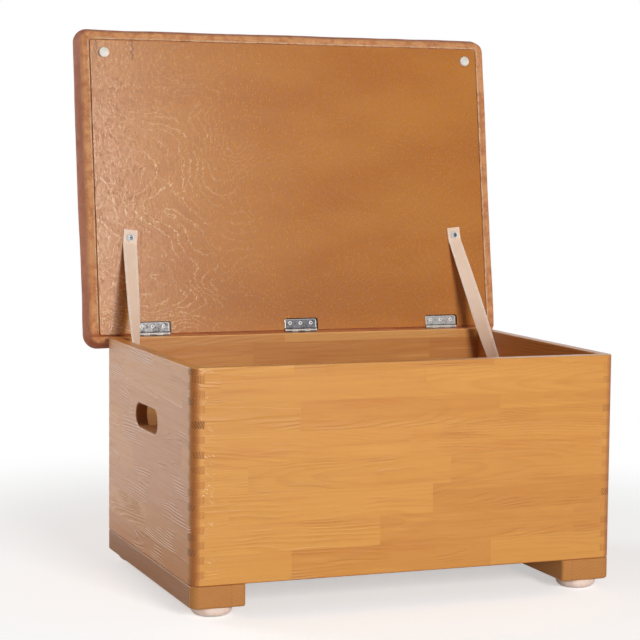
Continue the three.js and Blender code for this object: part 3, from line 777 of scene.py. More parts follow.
class Finish(Enum):
    """Every finish of the object."""

    PINE = LaminatedPine(
        "lacquered pine", "#e09f4a", "#c88434", "#c4762e", "#a9631e", "#4a2208", inside=0.22,
        scuffed=1.0,
    )
    # the back wall: a painted highlight along its top face, painted shade on its inner face
    BACK_PINE = LaminatedPine(
        "lacquered back pine", "#f4bd72", "#cc8440", "#c26c32", "#a9631e", "#4a2208", tone=0.7,
        redness=0.4, inside=0.18, rim=0.85,
    )
    SIDE_PINE = LaminatedPine(
        "lacquered side pine", "#e49d50", "#cc813a", "#c7723c", "#a9631e", "#4a2208", figure=0.1,
        brush=0.15, grain=0.45, relief=1.2 * MM, lacquer=0.22, inside=0.22,
    )
    SLOT = LaminatedPine(
        "slot edge", "#c07a34", "#a8662a", "#a8662a", "#8c4c1c", "#94501c", lacquer=0.0,
        roughness=0.65, cut_tone="#a8662a",
    )
    RUNNER = LaminatedPine(
        "runner pine", "#f0ae62", "#de9850", "#d28746", "#ad702f", "#8a4a1c",
        stave_height=65 * MM, stave_length=3.0, cut_tone="#ae7030", ticks=0.35,
        ring_gap=5.2 * MM, lacquer=0.12, seam=0.7, seed=7.0,
    )
    FLOOR = LaminatedPine(
        "floor sheet", "#d6a468", "#bd8245", "#bd8245", "#9a5c2c", "#7b4a20", stave_height=5.0,
        stave_length=5.0, tone=0.2, seed=3.0,
    )
    BOARD = LaminatedPine(
        "raw board", "#d3b486", "#b8925f", "#b8925f", "#9c7342", "#7b5a34", stave_height=90 * MM,
        stave_length=0.5, roughness=0.7, lacquer=0.0, seed=11.0,
    )
    PLYWOOD = Plywood("stained plywood", "#cb8335", "#b36522", "#dca569", "#f2ca94", "#5a2e10")
    COVER = Hide(
        "cushion leather", "#dc8450", "#ae5a34", "#f8b67a", "#f8d0a6", relief=1.1 * MM,
        roughness=0.55, gloss=0.34,
    )
    STRAP = Hide(
        "strap leather", "#fce0ca", "#f2d0b4", "#fae4d2", "#fbecde", relief=0.12 * MM,
        roughness=0.6, pebble=1.1 * MM,
    )
    ZINC = Zinc("zinc plate", "#94959a", "#707176", roughness=0.38, metal=0.8)
    # lit and shaded copies of one zinc leaf: each hinge gets its own painted lightness, lightest on
    # the right and darkest in the middle
    PLATE = Zinc("zinc leaf", "#d2d1ce", "#8e8e90", roughness=0.36, metal=0.6, rim=LEAF_RIM)
    WORN_PLATE = Zinc(
        "worn zinc leaf", "#a09f9e", "#5c5b5c", roughness=0.5, metal=0.5, rim=LEAF_RIM
    )
    DULL_PLATE = Zinc(
        "dull zinc leaf", "#77787c", "#4c4d50", roughness=0.42, metal=0.8, rim=LEAF_RIM
    )
    # zinc made near-white and barely metallic: its glints painted in as colour
    SCREW = Zinc("bright zinc", "#f6f5f3", "#e2e1e0", roughness=0.45, metal=0.1)
    RECESS = Zinc("shadowed zinc", "#2f2d2c", "#1f1e1e", roughness=0.6)
    # painted shade in the cross recess of the strap screws
    SHADED = Zinc("dull zinc", "#85868a", "#66676b", roughness=0.5, metal=0.4)
    PLASTIC = Moulded("pale plastic", "#fae5d8", "#ead2c4")
    BUTTON = Moulded("white plastic", "#f1eadf", "#dcd6cc")

    def dress(self) -> bpy.types.Material:
        """Gives the finish's material, made once.

        Returns:
            The material.
        """
        if self not in MADE:
            MADE[self] = self.value.material()
        return MADE[self]


MADE: dict[Finish, bpy.types.Material] = {}


# Meshes


def new_mesh(name: str, bm: Mesh) -> bpy.types.Mesh:
    """Turns a bmesh into a mesh.

    Args:
        name: the mesh's name.
        bm: the bmesh, which is used up.

    Returns:
        The mesh.
    """
    mesh = bpy.data.meshes.new(name)
    bm.to_mesh(mesh)
    bm.free()
    return mesh


def new_object(name: str, data: bpy.types.ID) -> bpy.types.Object:
    """Puts an object into the scene.

    Args:
        name: the object's name.
        data: its mesh, camera or lamp.

    Returns:
        The object.
    """
    made = bpy.data.objects.new(name, data)
    bpy.context.scene.collection.objects.link(made)
    return made


def vectors(items: bpy.types.bpy_prop_collection, key: str) -> np.ndarray:
    """Reads a vector of every vertex or face of a mesh.

    Args:
        items: the mesh's vertices or faces.
        key: the vector's name.

    Returns:
        The vectors, one in each row.
    """
    held = np.zeros(len(items) * 3)
    items.foreach_get(key, held)
    return held.reshape(-1, 3)


def write_faces(mesh: bpy.types.Mesh, name: str, values: np.ndarray) -> None:
    """Writes a number of each face as an attribute of its corners.

    Args:
        mesh: the mesh.
        name: the attribute's name.
        values: the numbers.
    """
    counts = np.zeros(len(mesh.polygons), np.int32)
    mesh.polygons.foreach_get("loop_total", counts)
    held = mesh.attributes.new(name, "FLOAT", "CORNER")
    held.data.foreach_set("value", np.repeat(values, counts).astype(np.float32))


def write_points(mesh: bpy.types.Mesh, name: str, values: np.ndarray) -> None:
    """Writes a number of each vertex as an attribute."""
    mesh.attributes.new(name, "FLOAT", "POINT").data.foreach_set("value", values)


@dataclass
class Piece:
    """One visible piece: where its mesh comes from, what it rides on and what it stands for."""

    name: str
    body: Body
    finish: Finish
    slot: str
    stands_for: tuple[str, ...] = ()
    place: Matrix = Matrix.Identity(4)
    grain_turn: Matrix = Matrix.Identity(4)
    grain_shift: Triple = (0.0, 0.0, 0.0)
    end_strength: Callable[[np.ndarray], np.ndarray | float] = lambda centres: 0.6
    second: Finish | None = None

    def make(self, bm: Mesh, weighted: bool = True) -> bpy.types.Object:
        """Turns a bmesh in the piece's own axes into an object in its place, dressed.

        Args:
            bm: the mesh, which is used up.
            weighted: whether big faces rule the shading of their rounded edges.

        Returns:
            The object.
        """
        bmesh.ops.recalc_face_normals(bm, faces=bm.faces)
        for face in bm.faces:
            face.smooth = True
        for edge in bm.edges:
            edge.smooth = edge.is_manifold and edge.calc_face_angle(0.0) < SHARP
        mesh = new_mesh(self.name, bm)
        self._write_grain(mesh)
        mesh.transform(self.place)
        mesh.materials.append(self.finish.dress())
        if self.second:
            mesh.materials.append(self.second.dress())
        made = new_object(self.name, mesh)
        if weighted:
            made.modifiers.new("shading", "WEIGHTED_NORMAL").keep_sharp = True
        self.settle(made)
        return made

    def _write_grain(self, mesh: bpy.types.Mesh) -> None:
        """Writes the grain's axes and the end grain into the mesh, while it is in its own axes.

        Args:
            mesh: the mesh.
        """
        turn = np.array(self.grain_turn.to_3x3())
        grain = vectors(mesh.vertices, "co") @ turn.T + np.array(self.grain_shift)
        held = mesh.attributes.new(GRAIN, "FLOAT_VECTOR", "POINT")
        held.data.foreach_set("vector", grain.astype(np.float32).ravel())
        along = np.abs(vectors(mesh.polygons, "normal") @ turn.T[:, 0])
        strength = self.end_strength(vectors(mesh.polygons, "center"))
        write_faces(mesh, END, np.clip((along - 0.3) / 0.5, 0, 1) * strength)

    def settle(self, made: bpy.types.Object) -> None:
        """Puts the object on its body, and hides the CAD nodes that it stands for.

        Args:
            made: the object.
        """
        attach(made, self.body.value)
        if self.stands_for:
            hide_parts(*self.stands_for)
        LOG.info("%s: %d faces", self.name, len(made.data.polygons))


def bevel(bm: Mesh, edges: Iterable[Edge], offset: float, segments: int) -> None:
    """Rounds edges.

    Args:
        bm: the mesh.
        edges: the edges.
        offset: how far the rounding reaches from an edge.
        segments: how many faces round it has.
    """
    bmesh.ops.bevel(
        bm, geom=list(edges), offset=offset, offset_type="OFFSET", segments=segments, profile=0.5,
        affect="EDGES", material=-1, clamp_overlap=True, loop_slide=True,
    )


def cuboid(low: Sequence[float], high: Sequence[float]) -> Mesh:
    """Makes a box between two corners.

    Args:
        low: its lowest corner.
        high: its highest corner.

    Returns:
        The mesh.
    """
    bm = bmesh.new()
    low, high = Vector(low), Vector(high)
    place = Matrix.Translation((high + low) / 2) @ Matrix.Diagonal((*(high - low), 1.0))
    bmesh.ops.create_cube(bm, size=1.0, matrix=place)
    return bm


def near(value: float, target: float) -> bool:
    """Whether two lengths are the same within a hundredth of a millimetre."""
    return abs(value - target) < 0.01 * MM


def edges_where(bm: Mesh, test: Callable[[Vector], bool]) -> list[Edge]:
    """Finds the edges whose two ends both pass a test."""
    return [edge for edge in bm.edges if all(test(vert.co) for vert in edge.verts)]


def upright_edges(bm: Mesh, test: Callable[[Vector], bool] = lambda co: True) -> list[Edge]:
    """Finds the edges that rise along Z by more than a millimetre, of those that pass a test."""
    found = edges_where(bm, test)
    return [edge for edge in found if abs(edge.verts[0].co.z - edge.verts[1].co.z) > MM]


def level_edges(bm: Mesh, test: Callable[[Vector], bool] = lambda co: True) -> list[Edge]:
    """Finds the creased edges that lie level, of those whose two ends pass a test.

    Args:
        bm: the mesh.
        test: says of a place whether an end may lie there.

    Returns:
        The edges.
    """
    return [
        edge
        for edge in edges_where(bm, test)
        if near(edge.verts[0].co.z, edge.verts[1].co.z) and edge.calc_face_angle(0.0) > CREASE
    ]


def cut_across(bm: Mesh, geom: Iterable[Vert | Edge | Face], axis: int, level: float) -> None:
    """Cuts new edges into a mesh along a plane.

    Args:
        bm: the mesh.
        geom: what is cut.
        axis: 0, 1 or 2 for a plane across X, Y or Z.
        level: the plane's place on that axis.
    """
    way = Vector((0, 0, 0))
    way[axis] = 1.0
    bmesh.ops.bisect_plane(bm, geom=list(geom), dist=SLIT, plane_co=way * level, plane_no=way)


@dataclass
class Teeth:
    """Fingers or knuckles that are grown, every second one, from the end faces of a slab."""

    is_end: Callable[[Face], bool]
    axis: int
    count: int
    pitch: float
    start: float
    gap: float
    first: int

    def grow(self, bm: Mesh) -> list[Face]:
        """Cuts the end faces into bands, and makes a new face on each band that grows.

        Args:
            bm: the slab.

        Returns:
            The new faces, still in the place of the old.
        """
        for joint in range(1, self.count):
            for side in (-0.5, 0.5):
                ends = [face for face in bm.faces if self.is_end(face)]
                edges = {edge for face in ends for edge in face.edges}
                verts = {vert for face in ends for vert in face.verts}
                level = joint * self.pitch + self.start + side * self.gap
                cut_across(bm, [*ends, *edges, *verts], self.axis, level)
        grown = [face for face in bm.faces if self.is_end(face) and self._grows(face)]
        return bmesh.ops.extrude_discrete_faces(bm, faces=grown)["faces"]

    def _grows(self, face: Face) -> bool:
        """Says whether a band of an end grows, and isn't the gap between two.

        Args:
            face: the band.

        Returns:
            Whether it does.
        """
        places = [vert.co[self.axis] for vert in face.verts]
        number = int((face.calc_center_median()[self.axis] - self.start) // self.pitch)
        return max(places) - min(places) > self.pitch / 2 and number % 2 == self.first


def turned(profile: Sequence[Pair], steps: int) -> Mesh:
    """Spins a profile round +Z.

    Args:
        profile: (radius, height) points.
        steps: how many faces round.

    Returns:
        The closed mesh.
    """
    bm = bmesh.new()
    verts = [bm.verts.new((radius, 0.0, height)) for radius, height in profile]
    edges = [bm.edges.new(pair) for pair in zip(verts, verts[1:])]
    bmesh.ops.spin(
        bm, geom=verts + edges, cent=(0, 0, 0), axis=(0, 0, 1), dvec=(0, 0, 0), angle=math.tau,
        steps=steps, use_merge=True,
    )
    bmesh.ops.remove_doubles(bm, verts=bm.verts, dist=0.002 * MM)
    bmesh.ops.dissolve_degenerate(bm, edges=bm.edges, dist=0.002 * MM)
    return bm


def quarter_turns(steps: int, first: int = 0) -> list[float]:
    """The angles of a quarter turn in equal steps, from the first step on."""
    return [QUARTER * step / steps for step in range(first, steps + 1)]


def ring_edges(verts: Iterable[Vert]) -> list[Edge]:
    """Finds the edges whose two ends are both among the vertices.

    Args:
        verts: the vertices.

    Returns:
        The edges.
    """
    held = set(verts)
    return list(
        {edge for vert in held for edge in vert.link_edges if edge.other_vert(vert) in held}
    )


def push_ring(bm: Mesh, ring: Sequence[Vert], move: Callable[[Vector], Vector]) -> list[Vert]:
    """Extrudes a ring of edges and moves the new ring.

    Args:
        bm: the mesh.
        ring: the ring's vertices.
        move: gives a new vertex's place from its old one.

    Returns:
        The new ring.
    """
    made = bmesh.ops.extrude_edge_only(bm, edges=ring_edges(ring))["geom"]
    verts = [item for item in made if isinstance(item, Vert)]
    for vert in verts:
        vert.co = move(vert.co)
    return verts


# The box


@dataclass
class HandSlot:
    """A round-ended slot with softened edges."""

    length: float = 123 * MM
    height: float = 37.5 * MM
    drop: float = 109 * MM
    rounding: float = 4.5 * MM
    steps: int = 40
    round_steps: int = 5

    def cut(self, bm: Mesh, rim: float, thickness: float) -> None:
        """Cuts the slot through a wall whose outer face is at Y 0.

        Args:
            bm: the wall, standing on Z 0.
            rim: the height of the wall.
            thickness: its thickness.
        """
        middle = rim - self.drop
        radius = self.height / 2
        straight = self.length / 2 - radius
        faces = sorted(bm.faces, key=lambda face: face.calc_area())[-2:]
        bmesh.ops.delete(bm, geom=faces, context="FACES_ONLY")
        outer_rim, inner_rim = (
            [edge for edge in edges_where(bm, lambda co, y=y: near(co.y, y)) if edge.is_boundary]
            for y in (0.0, thickness)
        )

        def at(offset: float, depth: float) -> Callable[[Vector], Vector]:
            """Gives the way onto one ring round the slot.

            Args:
                offset: how far the ring lies outside the slot.
                depth: its Y.

            Returns:
                A function that moves a place onto it.
            """

            def move(co: Vector) -> Vector:
                """Moves a place straight out from the slot's middle line.

                Args:
                    co: the place.

                Returns:
                    Where it goes.
                """
                core = Vector((max(-straight, min(straight, co.x)), 0.0, middle))
                way = Vector((co.x - core.x, 0.0, co.z - middle)).normalized()
                return core + way * (radius + offset) + Vector((0.0, depth, 0.0))

            return move

        ring = self._first_ring(bm, straight, radius)
        for vert in ring:
            vert.co.z += middle
            vert.co = at(self.rounding, 0.0)(vert.co)
        mouth = ring_edges(ring)
        turns = quarter_turns(self.round_steps, 1)
        course = [
            (self.rounding * (1 - math.sin(t)), self.rounding * (1 - math.cos(t))) for t in turns
        ]
        back = reversed([(self.rounding, 0.0), *course])
        course += [(offset, thickness - depth) for offset, depth in back]
        for offset, depth in course:
            ring = push_ring(bm, ring, at(offset, depth))
        for edges, way in ((outer_rim + mouth, -1), (inner_rim + ring_edges(ring), 1)):
            bmesh.ops.triangle_fill(bm, edges=edges, use_beauty=True, normal=(0, way, 0))
        bm.normal_update()
        reach = self.length / 2 + self.rounding + MM
        for face in bm.faces:
            off = face.calc_center_median() - Vector((0, 0, middle))
            if abs(face.normal.y) < 0.75 and abs(off.x) < reach and abs(off.z) < self.height:
                face.material_index = 1

    def _first_ring(self, bm: Mesh, straight: float, radius: float) -> list[Vert]:
        """Makes a ring of vertices round the slot, in the X and Z axes.

        Args:
            bm: the wall.
            straight: the slot's middle to the middle of an end.
            radius: radius of the ends.

        Returns:
            The ring.
        """
        upright = Matrix.Rotation(QUARTER, 4, "X")
        made = bmesh.ops.create_circle(bm, radius=radius, segments=self.steps, matrix=upright)
        for vert in made["verts"]:
            vert.co.y = 0.0
            if abs(vert.co.x) > 0.1 * MM:
                vert.co.x += math.copysign(straight, vert.co.x)
        return made["verts"]


@dataclass
class Wall:
    """One wall of the box, with its fingers. Its own X runs along it, and Y 0 is its outer face."""

    node: str
    finish: Finish
    turn: float
    first_finger: int
    length: float
    height: float
    slot: HandSlot | None = None
    front: int = 0
    dark_fingers: tuple[tuple[int, float], ...] = ()
    thickness: float = 20 * MM
    finger_count: int = 29
    joint_gap: float = 0.08 * MM
    corner_radius: float = 16 * MM
    corner_steps: int = 10
    rim_round: float = 2.2 * MM
    rim_steps: int = 4
    palest_end: float = 0.06
    end_spread: float = 0.7
    front_spread: float = 0.12
    # strength of the slot's end grain: dark end grain with painted shade
    slot_strength: float = 2.0

    def end_strength(self, centres: np.ndarray) -> np.ndarray:
        """Says how dark the cut fibres of each face are: much on a few fingers, and most in the
        slot, where the darkness is partly painted shade.

        Args:
            centres: the faces' middles.

        Returns:
            A number for each.
        """
        chances = np.random.default_rng(sum(map(ord, self.node))).random((2, self.finger_count + 1))
        strengths = self.palest_end + self.end_spread * chances**6
        if self.front:
            front = int(self.front > 0)
            strengths[front] = self.palest_end + self.front_spread * chances[0]
            for from_top, strength in self.dark_fingers:
                strengths[front, self.finger_count - 1 - from_top] = strength
        share = centres[:, 2] * self.finger_count / self.height
        finger = np.clip(share, 0, self.finger_count).astype(int)
        strength = strengths[(centres[:, 0] > 0).astype(int), finger]
        return np.where(np.abs(centres[:, 0]) < self.length / 4, self.slot_strength, strength)

    def write_rounding(self, made: bpy.types.Object) -> None:
        """Writes the painted shade of the wall's rounded upright corners and of its down-facing
        foot.

        Args:
            made: the wall, in place, whose own faces lie along X and Y.
        """
        normals = vectors(made.data.polygons, "normal")
        slants = np.abs(normals)
        share = np.clip(2.4 * slants[:, 0] * slants[:, 1] - 0.2, 0, 1) * (slants[:, 2] < 0.2)
        share = np.maximum(share, np.clip(-1.6 * normals[:, 2] - 0.2, 0, 1))
        write_faces(made.data, ROUNDING_SHADE, share)

    def build(self) -> Mesh:
        """Builds the wall.

        Returns:
            The mesh, in the wall's own axes.
        """
        half = self.length / 2
        shoulder = half - self.thickness - self.joint_gap
        bm = cuboid((-shoulder, 0.0, 0.0), (shoulder, self.thickness, self.height))
        teeth = Teeth(
            is_end=lambda face: abs(face.normal.x) > 0.9, axis=2, count=self.finger_count,
            pitch=self.height / self.finger_count, start=0.0, gap=self.joint_gap,
            first=self.first_finger,
        )
        for face in teeth.grow(bm):
            way = math.copysign(half - shoulder, face.calc_center_median().x)
            bmesh.ops.translate(bm, verts=face.verts, vec=(way, 0, 0))
        upright = edges_where(bm, lambda co: near(abs(co.x), half) and near(co.y, 0.0))
        bevel(bm, upright, self.corner_radius, self.corner_steps)
        level = level_edges(bm, lambda co: near(co.z, self.height) or near(co.z, 0.0))
        rims = [edge for edge in level if not self._in_joint(edge, shoulder)]
        bevel(bm, rims, self.rim_round, self.rim_steps)
        if self.slot:
            self.slot.cut(bm, self.height, self.thickness)
        return bm

    def _in_joint(self, edge: Edge, shoulder: float) -> bool:
        """Whether a level edge is hidden in a corner joint, where it stays sharp.

        Args:
            edge: the edge.
            shoulder: X where the fingers begin.

        Returns:
            Whether it is.
        """
        a, b = (vert.co for vert in edge.verts)
        inside = near(a.y, self.thickness) and near(b.y, self.thickness)
        crosswise = bool(self.first_finger) and near(abs(a.x), abs(b.x))
        return abs((a + b).x / 2) > shoulder - 0.01 * MM and (inside or crosswise)


@dataclass
class FingerJointedBox:
    """The four walls, in the places that the CAD gives them."""

    grain_step: float = 2.0
    left_dark: tuple[tuple[int, float], ...] = (
        (1, 0.45), (3, 0.3), (7, 1.0), (9, 0.2), (11, 0.55), (13, 0.25),
    )
    right_dark: tuple[tuple[int, float], ...] = (
        (7, 0.45), (17, 0.3), (19, 0.6), (23, 0.4), (25, 0.3),
    )

    def build(self) -> None:
        """Builds the walls."""
        low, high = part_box("front_wall")
        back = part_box("back_wall")[1].y
        width, height = high.x - low.x, high.z - low.z
        depth, middle = back - low.y, (back + low.y) / 2
        walls = (
            (Wall("front_wall", Finish.PINE, 0.0, 0, width, height), 0.0, low.y),
            (Wall("back_wall", Finish.BACK_PINE, math.pi, 0, width, height), 0.0, back),
            (
                Wall(
                    "left_wall", Finish.SIDE_PINE, -QUARTER, 1, depth, height, HandSlot(),
                    front=1, dark_fingers=self.left_dark,
                ),
                low.x, middle,
            ),
            (
                Wall(
                    "right_wall", Finish.SIDE_PINE, QUARTER, 1, depth, height, HandSlot(),
                    front=-1, dark_fingers=self.right_dark,
                ),
                high.x, middle,
            ),
        )
        for number, (wall, x, y) in enumerate(walls):
            piece = Piece(
                wall.node + "_board", Body.BOX, wall.finish, "pine", (wall.node,),
                Matrix.Translation((x, y, low.z)) @ Matrix.Rotation(wall.turn, 4, "Z"),
                grain_shift=(self.grain_step * number, 0.0, WALL_SHIFT * number),
                end_strength=wall.end_strength, second=Finish.SLOT if wall.slot else None,
            )
            wall.write_rounding(piece.make(wall.build()))


@dataclass
class Runner:
    """A runner under a side wall, with its counterbored screws. Its grain runs along Y."""

    hand: Hand
    outer_radius: float = 16 * MM
    inner_radius: float = 5 * MM
    edge: float = 3.5 * MM
    top_edge: float = 1.6 * MM
    glue_line: float = 295 * MM
    end_strength: float = 0.3
    bore_radius: float = 4.3 * MM
    bore_depth: float = 13.7 * MM
    bore_steps: int = 24

    def build(self) -> None:
        """Builds the runner."""
        node = f"{self.hand.word}_runner"
        low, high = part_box(node)
        bm = cuboid(low, high)
        outer_x = high.x if self.hand is Hand.RIGHT else low.x
        bevel(bm, upright_edges(bm, lambda co: not near(co.x, outer_x)), self.inner_radius, 5)
        bevel(bm, upright_edges(bm, lambda co: near(co.x, outer_x)), self.outer_radius, 10)
        for z, size in ((low.z, self.edge), (high.z, self.top_edge)):
            bevel(bm, level_edges(bm, lambda co, z=z: near(co.z, z)), size, 5)
        self._bore(bm, low.z)
        piece = Piece(
            node + "_block", Body.BOX, Finish.RUNNER, "runner_pine", (node,),
            grain_turn=Matrix(((0, 1, 0, 0), (0, 0, 1, 0), (1, 0, 0, 0), (0, 0, 0, 1))),
            grain_shift=(0.0, 0.0, self.glue_line), end_strength=lambda centres: self.end_strength,
        )
        piece.make(bm)

    def _bore(self, bm: Mesh, bottom: float) -> None:
        """Sinks the counterbores into the underside.

        Args:
            bm: the runner.
            bottom: height of its underside.
        """
        under = min(bm.faces, key=lambda face: face.calc_center_median().z)
        rims = list(under.edges)
        bmesh.ops.delete(bm, geom=[under], context="FACES_ONLY")
        for end in ("front", "rear"):
            low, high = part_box(f"{self.hand.word}_runner_screw_{end}")
            x, y, _ = (low + high) / 2
            place = Matrix.Translation((x, y, bottom))
            ring = bmesh.ops.create_circle(
                bm, radius=self.bore_radius, segments=self.bore_steps, matrix=place
            )["verts"]
            rims += ring_edges(ring)
            ring = push_ring(bm, ring, lambda co: co + Vector((0, 0, self.bore_depth)))
            bmesh.ops.contextual_create(bm, geom=ring_edges(ring))
        bmesh.ops.triangle_fill(bm, edges=rims, use_beauty=True, normal=(0, 0, -1))


@dataclass
class Glide:
    """A domed glide under a runner."""

    node: str
    flat: float = 20 * MM
    lip: float = 4 * MM
    gap: float = 0.3 * MM
    steps: int = 10

    def build(self) -> None:
        """Builds the glide."""
        low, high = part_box(self.node)
        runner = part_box(self.node.split("_")[1] + "_runner")[0].z
        radius = (high.x - low.x) / 2
        height = runner - self.gap - low.z
        slope, rise = radius - self.flat, height - self.lip
        dome = [
            (self.flat + slope * math.sin(t), rise * (1 - math.cos(t)))
            for t in quarter_turns(self.steps)
        ]
        bm = turned([(0.0, 0.0), *dome, (radius, height), (0.0, height)], 64)
        place = Matrix.Translation(((low.x + high.x) / 2, (low.y + high.y) / 2, low.z))
        piece = Piece(
            self.node + "_disc", Body.BOX, Finish.PLASTIC, "glide_plastic", (self.node,), place
        )
        piece.make(bm)


# The open lid's own axes: Y runs from the hinges to the free edge as a negative, and Z is up when
# the lid is closed.


@dataclass
class LidFrame:
    """Where the lid's own axes are, with the lid open."""

    open_angle: float = math.radians(98)

    def matrix(self) -> Matrix:
        """The turn and move from the lid's own axes into the frame."""
        joint = next(joint for joint in frame["joints"] if joint["name"] == "lid_hinge")
        return Matrix.Translation(joint["pos_m"]) @ Matrix.Rotation(-self.open_angle, 4, "X")


LID = LidFrame().matrix()


@dataclass
class Screw:
    """A countersunk screw that points along -Z, its head's rim at Z 0, with a cross recess."""

    radius: float
    shank: float
    length: float
    depth: float
    dome: float = 0.25 * MM
    border: float = 0.2 * MM
    taper: float = 0.55

    def build(self) -> Mesh:
        """Builds the screw.

        Returns:
            The mesh.
        """
        r, shank = self.radius, self.shank
        head = [(r * 0.62, self.dome), (r * 0.84, self.dome * 0.6), (r, 0.0), (shank, -self.depth)]
        bm = turned([*head, (shank, 2 * shank - self.length), (0.0, -self.length)], 24)
        rim = [edge for edge in bm.edges if edge.is_boundary]
        self._sink_cross(bm, bmesh.ops.contextual_create(bm, geom=rim)["faces"][0])
        return bm

    def _sink_cross(self, bm: Mesh, face: Face) -> None:
        """Sinks the cross into a flat face of 24 corners round the origin.

        Args:
            bm: the screw.
            face: the face.
        """
        bmesh.ops.inset_region(bm, faces=[face], thickness=self.border, use_even_offset=True)
        height = face.verts[0].co.z
        a, w = self.radius * 0.5, self.radius * 0.26
        outline = ((a, 0), (a, w), ((a + w) / 2, w), (w, w), (w, (a + w) / 2), (w, a))
        for vert in face.verts:
            turn = math.atan2(vert.co.y, vert.co.x)
            quarter = math.floor(turn / QUARTER + 1e-6)
            part = round((turn - quarter * QUARTER) / (QUARTER / 6)) % 6
            spun = Matrix.Rotation(quarter * QUARTER, 3, "Z") @ Vector((*outline[part], 0))
            vert.co = Vector((spun.x, spun.y, height))
        floor = bmesh.ops.extrude_discrete_faces(bm, faces=[face])["faces"][0]
        bmesh.ops.translate(bm, verts=floor.verts, vec=(0, 0, -self.radius * 0.45))
        bmesh.ops.scale(bm, verts=floor.verts, vec=(self.taper, self.taper, 1.0))
        # the sunk faces take the second material, the painted shade of the recess
        for sunk in {beside for edge in floor.edges for beside in edge.link_faces}:
            sunk.material_index = 1


def joined(parts: Iterable[tuple[Mesh, Matrix]]) -> Mesh:
    """Puts several meshes in their places in one.

    Args:
        parts: each mesh, which is used up, and its place.

    Returns:
        The mesh of them all.
    """
    whole = bmesh.new()
    for part, place in parts:
        bmesh.ops.recalc_face_normals(part, faces=part.faces)
        mesh = new_mesh("part", part)
        mesh.transform(place)
        whole.from_mesh(mesh)
        bpy.data.meshes.remove(mesh)
    return whole


@dataclass
class ButtHinge:
    """A butt hinge: two leaves with rolled knuckles, a pin and three screws in each leaf."""

    name: str
    plate: Finish
    width: float = 60 * MM
    reach: float = 20 * MM
    thickness: float = 1.5 * MM
    radius: float = 2.75 * MM
    knuckles: int = 5
    gap: float = 0.25 * MM
    corner: float = 2.5 * MM
    edge: float = 0.3 * MM
    sharpest: float = 1.2
    pin_radius: float = 1.2 * MM
    pin_chamfer: float = 0.4 * MM
    screw_spacing: float = 20 * MM
    screw_edge: float = 7 * MM
    roll: float = math.radians(318)
    roll_steps: int = 22
    screw_radius: float = 3.4 * MM
    screw_shank: float = 1.4 * MM
    screw_length: float = 15 * MM
    screw_turn: float = 1.1

    def _leaf(self, first: int) -> Mesh:
        """Builds a leaf that lies above the pin, its knuckles rolled round it.

        Args:
            first: number of the leaf's first knuckle.

        Returns:
            The mesh.
        """
        half, room = self.width / 2, -self.radius - self.gap
        bm = cuboid((-half, -self.reach, self.radius - self.thickness), (half, room, self.radius))
        bevel(bm, upright_edges(bm, lambda co: near(co.y, -self.reach)), self.corner, 5)
        teeth = Teeth(
            is_end=lambda face: face.normal.y > 0.9, axis=0, count=self.knuckles,
            pitch=self.width / self.knuckles, start=-half, gap=self.gap, first=first,
        )
        for tip in teeth.grow(bm):
            bmesh.ops.translate(bm, verts=tip.verts, vec=(0, -room, 0))
            bmesh.ops.spin(
                bm, geom=[tip], cent=(0, 0, 0), axis=(1, 0, 0), dvec=(0, 0, 0), angle=-self.roll,
                steps=self.roll_steps, use_merge=False,
            )
        bmesh.ops.recalc_face_normals(bm, faces=bm.faces)
        flat = edges_where(bm, lambda co: co.y < room - 0.1 * MM)
        bevel(bm, [e for e in flat if e.calc_face_angle(0.0) > self.sharpest], self.edge, 2)
        return bm

    def _screws(self, turned_by: float) -> Mesh:
        """The three screws of a leaf that lies above the pin.

        Args:
            turned_by: how far the middle screw's cross is turned.

        Returns:
            The mesh.
        """
        face, y = self.radius - self.thickness, self.screw_edge - self.reach
        upward = Matrix.Rotation(math.pi, 4, "X")
        parts = []
        for number in (-1, 0, 1):
            spin = Matrix.Rotation(turned_by + self.screw_turn * number, 4, "Z")
            place = Matrix.Translation((number * self.screw_spacing, y, face)) @ upward @ spin
            one = Screw(self.screw_radius, self.screw_shank, self.screw_length, self.thickness)
            parts.append((one.build(), place))
        return joined(parts)

    def build(self) -> None:
        """Builds the hinge."""
        low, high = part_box(f"{self.name}_hinge_pin")
        middle = (low + high) / 2
        on_box = Matrix.Translation(middle)
        hanging = on_box @ Matrix.Rotation(QUARTER, 4, "X")
        on_lid = LID @ Matrix.Translation((middle.x, 0, 0))
        for body, place, first, turned_by in (
            (Body.BOX, hanging, 1, 0.1),
            (Body.LID, on_lid, 0, 0.7),
        ):
            stem = f"{self.name}_hinge_{body.value}"
            leaf = stem + "_leaf"
            piece = Piece(leaf + "_plate", body, self.plate, "zinc", (leaf,), place)
            piece.make(self._leaf(first))
            nodes = tuple(f"{stem}_screw_{number}" for number in (1, 2, 3))
            piece = Piece(
                stem + "_screws", body, Finish.SCREW, "zinc", nodes, place, second=Finish.RECESS
            )
            piece.make(self._screws(turned_by))
        pin = f"{self.name}_hinge_pin"
        half, r = self.width / 2, self.pin_radius
        tip = [(0.0, half), (r * 0.7, half), (r, half - self.pin_chamfer)]
        foot = [(radius, -height) for radius, height in tip]
        place = on_box @ Matrix.Rotation(QUARTER, 4, "Y")
        piece = Piece(pin + "_rod", Body.BOX, Finish.SCREW, "zinc", (pin,), place)
        piece.make(turned([*foot, *reversed(tip)], 20))


